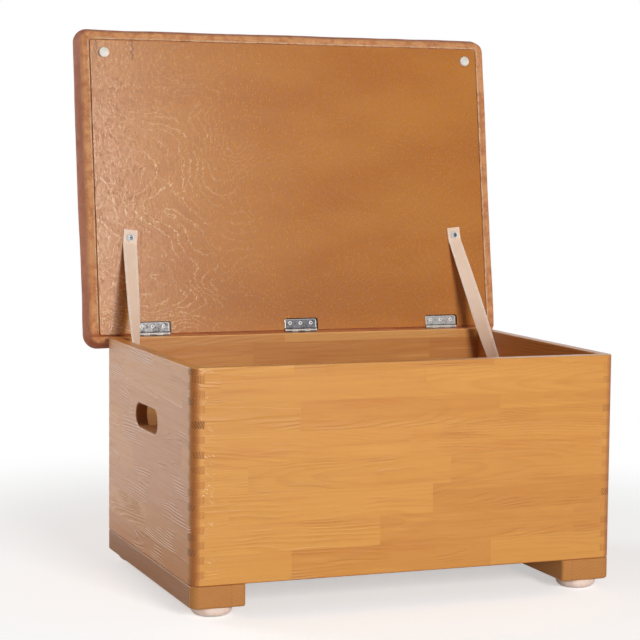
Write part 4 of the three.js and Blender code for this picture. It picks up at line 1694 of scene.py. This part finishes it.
@dataclass
class CheckStrap:
    """A leather strap that stops the lid, with a cup washer and a screw at each end."""

    hand: Hand
    width: float = 25 * MM
    thickness: float = 2.5 * MM
    tail: float = 14.5 * MM
    flat: float = 10 * MM
    gap: float = 0.3 * MM
    corner: float = 2 * MM
    edge: float = 0.7 * MM
    raw_width: float = 1.2 * MM
    cuts: int = 90
    cuts_across: int = 6
    bends: float = 12.0
    twist: float = 0.6
    bow: float = 1.5 * MM
    wave: float = 0.25 * MM
    blend_start: float = 0.1
    blend_end: float = 0.5
    washer_radius: float = 7.4 * MM
    washer_height: float = 3 * MM
    screw_radius: float = 4 * MM
    screw_shank: float = 2 * MM
    screw_length: float = 17 * MM
    screw_depth: float = 2.2 * MM
    screw_seat: float = 0.3 * MM
    screw_turn: float = 0.5

    def _ends(self) -> tuple[Vector, Vector, Vector, Vector]:
        """The strap's middle under its two screws, and the way its face looks at each.

        Returns:
            Lower point, upper point, face on the wall, face on the lid.
        """
        lift = self.thickness / 2 + self.gap
        low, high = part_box(f"{self.hand.word}_strap_wall_washer")
        wall_face = Vector((-self.hand.value, 0, 0))
        lower = (low + high) / 2
        inner = high.x if self.hand is Hand.LEFT else low.x
        lower.x = inner - wall_face.x * (self.washer_height + lift)
        low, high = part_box(f"{self.hand.word}_strap_lid_washer")
        lid_face = (LID.to_3x3() @ Vector((0, 0, -1))).normalized()
        upper = (low + high) / 2 - lid_face * (self.washer_height / 2 + lift)
        return lower, upper, wall_face, lid_face

    def _course(self) -> Callable[[float], tuple[Vector, Vector, Vector]]:
        """Gives the strap's middle, its way and its face at each length from its lower end.

        Returns:
            A function of that length.
        """
        lower, upper, wall_face, lid_face = self._ends()
        straight = (upper - lower).normalized()
        up_wall, up_lid = (
            (straight - face * straight.dot(face)).normalized() for face in (wall_face, lid_face)
        )
        leave = lower + up_wall * self.flat
        land = upper - up_lid * self.flat
        free = (land - leave).length
        start = self.tail + self.flat
        self.length = 2 * start + free

        def course(at: float) -> tuple[Vector, Vector, Vector]:
            """Gives the strap's middle, its way and its face.

            Args:
                at: length from the lower end.

            Returns:
                The three vectors.
            """
            if at <= start:
                return lower + up_wall * (at - self.tail), up_wall, wall_face
            if at >= start + free:
                return land + up_lid * (at - start - free), up_lid, lid_face
            share = (at - start) / free
            bent = share * self.bends
            way = up_wall.lerp(straight, min(1.0, bent))
            way = way.lerp(up_lid, max(0.0, bent - self.bends + 1)).normalized()
            bow = math.sin(math.pi * share) * self.bow
            face = wall_face.lerp(lid_face, share**self.twist).normalized()
            return leave.lerp(land, share) + face * bow, way, face

        return course

    def _strip(self) -> Mesh:
        """Builds the strap lying straight along X, with enough cuts to bend.

        Returns:
            The mesh.
        """
        half = Vector((0, self.width / 2, self.thickness / 2))
        bm = cuboid(-half, half + Vector((self.length, 0, 0)))
        bevel(bm, upright_edges(bm), self.corner, 4)
        bevel(bm, level_edges(bm), self.edge, 2)
        for step in range(1, self.cuts):
            x = self.corner * 2 + (self.length - 4 * self.corner) * step / self.cuts
            cut_across(bm, [*bm.verts, *bm.edges, *bm.faces], 0, x)
        for step in range(1, self.cuts_across):
            y = (step / self.cuts_across - 0.5) * (self.width - 4 * self.edge)
            cut_across(bm, [*bm.verts, *bm.edges, *bm.faces], 1, y)
        return bm

    def build(self) -> None:
        """Builds the strap, its washers and its screws."""
        word = self.hand.word
        course = self._course()
        bm = self._strip()
        bm.verts.index_update()
        rest = [vert.co.copy() for vert in bm.verts]
        for vert in bm.verts:
            x, y, z = vert.co
            point, way, face = course(x)
            across = way.cross(face).normalized()
            out = across.cross(way).normalized()
            wave = noise.noise(Vector((x * 30, self.hand.value * 9.0, 0.0))) * self.wave
            vert.co = point + across * (y + wave) + out * z
        strap = Piece(
            f"{word}_strap_band", Body.BOX, Finish.STRAP, "strap_leather", (f"{word}_strap",)
        )
        made = self._band(strap, bm, rest)
        lower, upper, wall_face, lid_face = self._ends()
        lower.lerp(upper, self.blend_start)
        lower.lerp(upper, self.blend_end)
        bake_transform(made)
        seat = Matrix.Translation((0, 0, self.washer_height - self.screw_seat))
        seat = seat @ Matrix.Rotation(self.screw_turn, 4, "Z")
        screw = Screw(self.screw_radius, self.screw_shank, self.screw_length, self.screw_depth)
        for part, body, point, face in (
            ("wall", Body.BOX, lower, wall_face),
            ("lid", Body.LID, upper, lid_face),
        ):
            turn = face.to_track_quat("Z", "Y").to_matrix().to_4x4()
            base = point + face * (self.thickness / 2 + self.gap)
            place = Matrix.Translation(base) @ turn
            node = f"{word}_strap_{part}_washer"
            piece = Piece(node + "_cup", body, Finish.SCREW, "zinc", (node,), place)
            piece.make(self._washer())
            node = f"{word}_strap_{part}_screw"
            piece = Piece(
                node + "_head", body, Finish.ZINC, "zinc", (node,), place @ seat,
                second=Finish.SHADED,
            )
            piece.make(screw.build())

    def _band(self, piece: Piece, bm: Mesh, rest: list[Vector]) -> bpy.types.Object:
        """Makes the strap's object, whose grain follows the strap.

        Args:
            piece: the strap.
            bm: its mesh, in place.
            rest: each vertex's place along, across and through the strap.

        Returns:
            The object, on no body.
        """
        made = piece.make(bm, weighted=False)
        grain = np.array(rest, np.float32) + np.float32([0.0, 2.0 * self.hand.value, 0.0])
        made.data.attributes[GRAIN].data.foreach_set("vector", grain.ravel())
        raw = np.abs(np.array(rest)[:, 1]) > self.width / 2 - self.raw_width
        write_points(made.data, RAW, raw.astype(np.float32))
        made.parent = None
        del made["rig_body"]
        return made

    def _washer(self) -> Mesh:
        """Builds the cup washer, standing on Z 0.

        Returns:
            The mesh.
        """
        shares = (
            (1.0, 0.0), (1.0, 0.4 / 3), (0.95, 0.45), (0.85, 0.78), (0.74, 1.0), (0.62, 0.97),
            (0.56, 0.6), (0.34, 0.1), (0.34, 0.0), (1.0, 0.0),
        )
        return turned([(self.washer_radius * r, self.washer_height * z) for r, z in shares], 40)


# The lid


@dataclass
class LidPanel:
    """The plywood sheet that closes the underside of the lid."""

    thickness: float = 4 * MM
    low: float = 3.05 * MM
    near_y: float = 0.6 * MM
    far_y: float = 517.6 * MM
    corners: Pair = (3 * MM, 9 * MM)
    edge: float = 0.5 * MM

    def build(self) -> None:
        """Builds the sheet."""
        low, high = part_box("lid_panel")
        top = self.low + self.thickness
        bm = cuboid((low.x, -self.far_y, self.low), (high.x, -self.near_y, top))
        bevel(bm, upright_edges(bm, lambda co: co.x < 0), self.corners[0], 6)
        bevel(bm, upright_edges(bm, lambda co: near(co.x, high.x)), self.corners[1], 8)
        bevel(bm, level_edges(bm), self.edge, 2)
        Piece("lid_panel_sheet", Body.LID, Finish.PLYWOOD, "plywood", ("lid_panel",), LID).make(bm)


def noise_at(co: Vector, scale: Triple, shift: float = 0.0) -> float:
    """Reads noise from -1 to 1 at a place, which each scale makes finer along its own axis."""
    return noise.noise(Vector((co.x * scale[0], co.y * scale[1], co.z * scale[2] + shift)))


@dataclass(frozen=True)
class Ring:
    """One ring of the cushion: its half sizes, corner radius, height and how raw its edge is."""

    half_x: float
    half_y: float
    radius: float
    z: float
    raw: float = 0.0

    def grown(self, out: float, z: float, raw: float = 0.0) -> Ring:
        """Gives a ring that lies further out by the same on all sides."""
        return Ring(self.half_x + out, self.half_y + out, self.radius + out, z, raw)


@dataclass
class Cushion:
    """The leather cushion: a hem folded under, sides that swell, rounded edges and a crown."""

    half_x: float = 394.4 * MM
    half_y: float = 280.7 * MM
    shift: float = 0.8 * MM
    lift: float = 3 * MM
    middle_y: float = -259.1 * MM
    mouth_x: float = 372.1 * MM
    mouth_y: float = 260.1 * MM
    mouth_radius: float = 4 * MM
    mouth_lip: float = 0.5 * MM
    hem_low: float = 5.05 * MM
    height: float = 50 * MM
    bulge: float = 6.5 * MM
    crown: float = 8 * MM
    edge: float = 22 * MM
    corner: float = 25 * MM
    fold: float = 6 * MM
    bead: tuple[Triple, ...] = (  # out from the mouth, up from the hem, and how raw
        (0.0, 2.2 * MM, 0.0), (0.0, 0.8 * MM, 0.2), (0.0, -0.27 * MM, 0.7),
        (0.3 * MM, -0.765 * MM, 1.0), (0.9 * MM, -0.9 * MM, 1.0), (1.6 * MM, -0.765 * MM, 1.0),
        (2.3 * MM, -0.405 * MM, 0.8), (3.0 * MM, -0.09 * MM, 0.25), (4.0 * MM, 0.0, 0.0),
    )
    bead_end: float = -4 * MM
    bead_fade: float = 20 * MM
    corner_steps: int = 14
    side_steps: tuple[int, int] = (74, 52)
    hem_shares: Pair = (0.35, 0.65)
    hem_flat: float = MM
    hem_swell: float = 0.35
    hem_fade: float = 3 * MM
    bead_width: float = 3.5 * MM
    gather_fade: float = 12 * MM
    gather_from: Pair = (300 * MM, 180 * MM)
    gather_reach: float = 80 * MM
    rubbed_rise: float = 1.15
    # the strip beside the hinges, kept dark as painted shade of the gap under the panel
    hinge_band: Pair = (-4 * MM, 3.4 * MM)
    hinge_fade: Pair = (3 * MM, 0.8 * MM)
    fold_steps: int = 6
    swell_steps: int = 6
    edge_steps: int = 8
    crown_steps: int = 30

    def _outline(self, half_x: float, half_y: float, radius: float) -> list[Vector]:
        """Points round a rounded rectangle, the same number on each corner and side every time.

        Args:
            half_x: half its width.
            half_y: half its depth.
            radius: its corner radius.

        Returns:
            The points, anticlockwise from the right-hand side.
        """
        points = []
        for corner, (x, y) in enumerate(((1, 1), (-1, 1), (-1, -1), (1, -1))):
            centre = Vector((x * (half_x - radius), y * (half_y - radius), 0.0))
            for step in range(self.corner_steps + 1):
                turn = (corner + step / self.corner_steps) * QUARTER
                points.append(centre + radius * Vector((math.cos(turn), math.sin(turn), 0.0)))
            way = -2 * centre
            reach = Vector((0, way.y, 0)) if corner % 2 else Vector((way.x, 0, 0))
            start, steps = points[-1], self.side_steps[corner % 2]
            points += [start + reach * (step / steps) for step in range(1, steps)]
        return points

    def _rings(self) -> list[Ring]:
        """Gives the rings, from the mouth to the crown.

        Returns:
            The rings.
        """
        low = self.hem_low
        mouth = Ring(self.mouth_x, self.mouth_y, self.mouth_radius, low)
        outer = Ring(self.half_x, self.half_y, self.corner, low)
        rings = [mouth.grown(out, low + up, raw) for out, up, raw in self.bead]
        flat_end = self.bulge + self.fold
        hem = self.half_x - flat_end - self.mouth_x
        slope = (self.corner - flat_end - self.mouth_radius) / hem
        for share in self.hem_shares:
            out = hem * share
            radius = self.mouth_radius + out * slope
            rings.append(Ring(self.mouth_x + out, self.mouth_y + out, radius, low))
        for turn in quarter_turns(self.fold_steps):
            up = self.fold * (1 - math.cos(turn))
            rings.append(outer.grown(self.fold * math.sin(turn) - flat_end, low + up))
        side_low, side_high = low + self.fold, low + self.height - self.edge
        for turn in quarter_turns(self.swell_steps, 1):
            z = side_low + (side_high - side_low) * turn / QUARTER
            rings.append(outer.grown(self.bulge * (math.sin(turn) - 1), z))
        for turn in quarter_turns(self.edge_steps, 1):
            z = side_high + self.edge * math.sin(turn)
            rings.append(outer.grown(self.edge * (math.cos(turn) - 1), z))
        return rings + self._crown_rings()

    def _crown_rings(self) -> list[Ring]:
        """Gives the rings of the upper face, whose corners grow rounder toward the middle.

        Returns:
            The rings.
        """
        core_x, core_y = self.half_x - self.edge, self.half_y - self.edge
        rings = []
        for step in range(1, self.crown_steps):
            reach = 1 - step / self.crown_steps
            radius = (self.corner - self.edge) * reach
            radius += core_y * reach * (1 - reach) ** 0.8 * 0.95
            z = self.hem_low + self.height + self.crown * (1 - reach * reach)
            radius = min(radius, core_y * reach * 0.98)
            rings.append(Ring(core_x * reach, core_y * reach, radius, z))
        return rings

    def build(self) -> None:
        """Builds the cushion."""
        bm = bmesh.new()
        count = len(self._outline(1.0, 0.8, 0.1))
        verts = bmesh.ops.create_circle(bm, radius=0.1, segments=count)["verts"]
        order = sorted(verts, key=lambda vert: math.atan2(vert.co.y, vert.co.x) % math.tau)
        raw_of: dict[Vert, float] = {}
        for number, ring in enumerate(self._rings()):
            if number:
                made = bmesh.ops.extrude_edge_only(bm, edges=ring_edges(order))["geom"]
                fresh = {item for item in made if isinstance(item, Vert)}
                order = [
                    next(e.other_vert(v) for e in v.link_edges if e.other_vert(v) in fresh)
                    for v in order
                ]
            for vert, point in zip(order, self._outline(ring.half_x, ring.half_y, ring.radius)):
                vert.co = Vector((point.x, point.y + self.middle_y, ring.z))
                raw_of[vert] = ring.raw * clamped((self.bead_end - vert.co.y) / self.bead_fade)
        top = bmesh.ops.contextual_create(bm, geom=ring_edges(order))["faces"]
        bmesh.ops.poke(bm, faces=top)
        inside = [edge for edge in bm.edges if edge.is_boundary]
        bmesh.ops.contextual_create(bm, geom=inside)
        self._wear(bm)
        bm.verts.index_update()
        raws, worn = np.zeros((2, len(bm.verts)), np.float32)
        for vert, raw in raw_of.items():
            raws[vert.index] = raw
        for vert in bm.verts:
            worn[vert.index] = self._rubbed(vert.co)
        nodes = ("leather_cover", "foam_pad")
        piece = Piece("leather_cushion", Body.LID, Finish.COVER, "cover_leather", nodes, LID)
        made = piece.make(bm, weighted=False)
        write_points(made.data, RAW, raws)
        write_points(made.data, HEM_WEAR_AND_LIGHT, worn)

    def _rubbed(self, co: Vector) -> float:
        """Says how pale the hide is: on the hem and its fold, partly wear and partly painted light,
        but not beside the hinges, where it stays dark as painted shade of the gap.

        Args:
            co: a place on the hide.

        Returns:
            A number from 0 to 1.
        """
        rise = (co.z - self.hem_low) / self.fold
        (start, end), (fade_in, fade_out) = self.hinge_band, self.hinge_fade
        # beside the hinges the hide stays dark: painted shade of the gap
        in_gap_shade = min((co.y - start) / fade_in, (end - co.y) / fade_out)
        return clamped(self.rubbed_rise - rise) * (1.0 - clamped(in_gap_shade))

    def _wear(self, bm: Mesh) -> None:
        """Gives the hide its slight waves, dents and creases.

        Args:
            bm: the cushion.
        """
        bm.normal_update()
        moves = {}
        for vert in bm.verts:
            co = vert.co
            x, y = abs(co.x) - self.mouth_x, abs(co.y - self.middle_y) - self.mouth_y
            from_mouth = max(x, y)
            on_hem = co.z < self.hem_low + self.hem_flat
            if on_hem:
                amount = self.hem_swell * clamped(from_mouth / self.hem_fade)
            else:
                amount = 0.0 if from_mouth < self.mouth_lip else 1.0
            swell = 1.3 * noise_at(co, (8, 8, 14)) + 0.5 * noise_at(co, (30, 30, 40), 5)
            move = vert.normal * swell * amount * MM
            if on_hem and from_mouth < self.bead_width and co.y < self.bead_end:
                out = Vector((co.x / self.mouth_x, (co.y - self.middle_y) / self.mouth_y, 0))
                wave = noise_at(co, (55, 55, 0), 3) + 0.6 * noise_at(co, (160, 160, 0), 7)
                move += out.normalized() * (wave * 0.55 + 0.35) * MM
            moves[vert] = move + self._gather(co) * clamped(from_mouth / self.gather_fade)
        for vert, move in moves.items():
            vert.co += move

    def _gather(self, co: Vector) -> Vector:
        """Says how far the hide stands out at its gathered free left corner.

        Args:
            co: a place on the hide.

        Returns:
            The move.
        """
        side, edge = self.gather_from
        by_side = clamped((-co.x - side) / self.gather_reach)
        by_edge = clamped((self.middle_y - co.y - edge) / self.gather_reach)
        return Vector((self.shift, -self.lift * by_side * by_edge, 0.0))


@dataclass
class Bumper:
    """A round bumper on the lid, near a free corner."""

    hand: Hand
    radius: float = 9 * MM
    height: float = 5.5 * MM
    rounding: float = 1.6 * MM
    dish: Pair = (0.35 * MM, 0.25 * MM)

    def build(self) -> None:
        """Builds the bumper."""
        node = f"{self.hand.word}_bumper"
        low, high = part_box(node)
        centre = LID.inverted() @ ((low + high) / 2)
        r, e = self.radius, self.rounding
        face = [(0.0, self.dish[0]), (r * 0.5, self.dish[1]), (r - e, 0.0)]
        edge = [(r - e + e * math.sin(t), e - e * math.cos(t)) for t in quarter_turns(5, 1)]
        bm = turned([*face, *edge, (r, self.height), (0.0, self.height)], 48)
        place = LID @ Matrix.Translation((centre.x, centre.y, centre.z - self.height / 2))
        Piece(node + "_button", Body.LID, Finish.BUTTON, "glide_plastic", (node,), place).make(bm)


# The hidden and plain nodes keep their CAD shape


@dataclass(frozen=True)
class KeptNode:
    """A CAD node that keeps its shape and gets a finish that reads Object coordinates."""

    node: str
    finish: Finish
    turn: float = 0.0

    def dress(self) -> None:
        """Puts the finish on the node."""
        held = frame["nodes"][self.node]
        material = self.finish.dress().copy()
        material.name = f"{self.finish.value.name} on {self.node}"
        tree = material.node_tree
        readers = [node for node in tree.nodes if node.bl_idname == "ShaderNodeAttribute"]
        for node in readers:
            if node.attribute_name != GRAIN:
                continue
            place = tree.nodes.new("ShaderNodeTexCoord")
            mapping = tree.nodes.new("ShaderNodeMapping")
            mapping.inputs["Rotation"].default_value = (self.turn, 0.0, 0.0)
            tree.links.new(place.outputs["Object"], mapping.inputs["Vector"])
            for link in list(node.outputs["Vector"].links):
                tree.links.new(mapping.outputs[0], link.to_socket)
            tree.nodes.remove(node)
        held.data.materials.clear()
        held.data.materials.append(material)
        LOG.info("%s keeps its CAD shape", self.node)


# Camera, floor and light


@dataclass(frozen=True)
class Softbox:
    """A square softbox. Matt or glossy surfaces may be left out of its light."""

    name: str
    place: Triple
    size: float
    power: float
    matt: bool = True
    gloss: bool = True

    def hang(self, target: Triple) -> None:
        """Hangs the softbox in its place.

        Args:
            target: where it looks.
        """
        data = bpy.data.lights.new(self.name, "AREA")
        data.shape, data.size, data.energy = "SQUARE", self.size, self.power
        made = new_object(self.name, data)
        made.visible_diffuse, made.visible_glossy = self.matt, self.gloss
        made.location = self.place
        way = Vector(target) - Vector(self.place)
        made.rotation_euler = way.to_track_quat("-Z", "Y").to_euler()


WHITE = (1.0, 1.0, 1.0, 1.0)


@dataclass
class Studio:
    """The photograph's camera, a pale floor and soft lights."""

    camera_place: Triple = (-1.23807, -3.15959, 0.72627)
    yaw: float = math.radians(-20.8405)
    pitch: float = math.radians(-5.0938)
    roll: float = math.radians(-0.5453)
    lens: float = 111.96
    sensor: float = 36.0
    clip: Pair = (0.05, 200.0)
    floor_size: float = 60.0
    floor_colour: tuple[float, ...] = (0.8, 0.8, 0.8, 1.0)
    floor_glow: float = 0.5
    floor_fade: Pair = (0.6, 1.4)
    mirror_fade: Pair = (0.35, 1.0)
    curtain_radius: float = 7.0
    curtain_foot: float = -0.5
    curtain_height: float = 6.0
    curtain_steps: int = 24
    curtain_reach: Pair = (math.radians(-115), math.radians(60))
    curtain_shade: Pair = (0.3, 1.2)
    curtain_colour: tuple[float, ...] = (0.03, 0.03, 0.03, 1.0)
    roughness: float = 0.9
    fill: float = 0.2
    lamps: tuple[Softbox, ...] = (
        Softbox("key softbox", (0.3, -4.0, 1.3), size=1.1, power=110.0, gloss=False),
        Softbox("gloss softbox", (-0.15, -4.0, 1.65), size=1.2, power=131.0, matt=False),
        Softbox("side softbox", (-2.6, 2.7, 1.4), size=1.8, power=54.0),
    )
    lamp_target: Triple = (0.0, 0.0, 0.45)

    def build(self) -> None:
        """Makes the camera, the floor, the curtain, the world and the lamps."""
        self._camera()
        self._floor()
        self._curtain()
        self._world()
        for lamp in self.lamps:
            lamp.hang(self.lamp_target)
        bpy.context.scene.view_settings.view_transform = "Standard"

    def _camera(self) -> None:
        """Sets up the camera where the photograph was taken from."""
        data = bpy.data.cameras.new("camera")
        data.lens, data.sensor_width = self.lens, self.sensor
        data.clip_start, data.clip_end = self.clip
        camera = new_object("camera", data)
        turn = Matrix.Rotation(self.yaw, 3, "Z") @ Matrix.Rotation(self.pitch, 3, "X")
        turn = turn @ Matrix.Rotation(self.roll, 3, "Y")
        right, forward, up = turn.col
        axes = Matrix((right, up, -forward)).transposed()
        camera.matrix_world = Matrix.Translation(self.camera_place) @ axes.to_4x4()
        bpy.context.scene.camera = camera

    def _floor(self) -> None:
        """Lays the floor, which the camera and reflections see as white with a shadow."""
        bm = bmesh.new()
        bmesh.ops.create_grid(bm, x_segments=1, y_segments=1, size=self.floor_size / 2)
        floor = new_object("floor", new_mesh("floor", bm))
        s = Shader("pale floor")
        s.finish(self.floor_colour, self.roughness, Specular_IOR_Level=0.0)
        matt = s.surface.outputs[0]
        path = s.add("LightPath", {}).outputs
        place = s.add("TexCoord", {}).outputs["Object"]
        white, glow = (
            s.add("Emission", {"Color": WHITE, "Strength": strength}).outputs[0]
            for strength in (1.0, self.floor_glow)
        )

        def mixed(share: Value, first: Socket, second: Socket) -> Socket:
            """Mixes two shaders, all of the first at share 0."""
            return s.add("MixShader", {0: share, 1: first, 2: second}).outputs[0]

        lit = s.add("AddShader", {0: matt, 1: glow}).outputs[0]
        seen = mixed(s.ramp(s.length(place), *self.floor_fade), lit, white)
        facing = sum(self.curtain_reach) / 2
        toward = s.along(place, (math.sin(facing), -math.cos(facing), 0.0))
        reach = s.ramp(s.length(place), *self.mirror_fade)
        behind = s.product(reach, s.ramp(toward, *self.curtain_shade, 1.0, 0.0))
        reflected = s.math("MAXIMUM", path["Is Glossy Ray"], path["Is Transmission Ray"])
        shown = mixed(reflected, matt, mixed(behind, matt, white))
        s.feed(s.output.inputs[0], mixed(path["Is Camera Ray"], shown, seen))
        floor.data.materials.append(s.material)
        floor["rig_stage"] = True

    def _curtain(self) -> None:
        """Hangs a dark curtain round the camera's side, which only reflections see."""
        bm = bmesh.new()
        heights = (self.curtain_foot, self.curtain_height)
        ends = [bm.verts.new((0.0, -self.curtain_radius, z)) for z in heights]
        edge = bm.edges.new(ends)
        start, end = self.curtain_reach
        turn = Matrix.Rotation(start, 3, "Z")
        bmesh.ops.rotate(bm, verts=ends, cent=(0, 0, 0), matrix=turn)
        bmesh.ops.spin(
            bm, geom=[*ends, edge], cent=(0, 0, 0), axis=(0, 0, 1), dvec=(0, 0, 0),
            angle=end - start, steps=self.curtain_steps, use_merge=False,
        )
        curtain = new_object("curtain", new_mesh("curtain", bm))
        curtain.visible_camera = curtain.visible_diffuse = curtain.visible_shadow = False
        dark = Shader("curtain").finish(self.curtain_colour, self.roughness)
        curtain.data.materials.append(dark)
        curtain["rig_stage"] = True

    def _world(self) -> None:
        """Lights the world softly, and shows it white to the camera and in reflections."""
        world = bpy.data.worlds.new("studio")
        bpy.context.scene.world = world
        nodes = Nodes(world)
        path = nodes.add("LightPath", {}).outputs
        shown = [path[name] for name in ("Is Camera Ray", "Is Glossy Ray", "Is Transmission Ray")]
        seen = reduce(lambda one, other: nodes.math("MAXIMUM", one, other), shown)
        dim, white = (
            nodes.add("Background", {"Color": WHITE, "Strength": strength}).outputs[0]
            for strength in (self.fill, 1.0)
        )
        mixed = nodes.add("MixShader", {0: seen, 1: dim, 2: white}).outputs[0]
        nodes.add("OutputWorld", {0: mixed})


def corners(box: tuple[Vector, Vector]) -> list[list[float]]:
    """A box's two corners as plain lists."""
    return [list(corner) for corner in box]


def main() -> None:
    """Builds the studio and every piece of the box."""
    logging.basicConfig(level=logging.INFO, format="%(name)s: %(message)s")
    parts = frame["record"]["subparts"]
    frame["record_slots"] = {part["node"]: part["material_slot"] for part in parts}
    Studio().build()
    FingerJointedBox().build()
    for hand in Hand:
        Runner(hand).build()
        for end in ("front", "rear"):
            Glide(f"{end}_{hand.word}_glide").build()
            KeptNode(f"{hand.word}_runner_screw_{end}", Finish.ZINC).dress()
        CheckStrap(hand).build()
        Bumper(hand).build()
    # each hinge takes its own painted lightness of zinc
    ButtHinge("left", Finish.WORN_PLATE).build()
    ButtHinge("middle", Finish.DULL_PLATE).build()
    ButtHinge("right", Finish.PLATE).build()
    KeptNode("floor_panel", Finish.FLOOR).dress()
    KeptNode("lid_board", Finish.BOARD, LidFrame.open_angle).dress()
    LidPanel().build()
    Cushion().build()
    {"cad": corners(CAD_BOX), "visual": corners(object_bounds())}


if __name__ == "__main__":
    main()
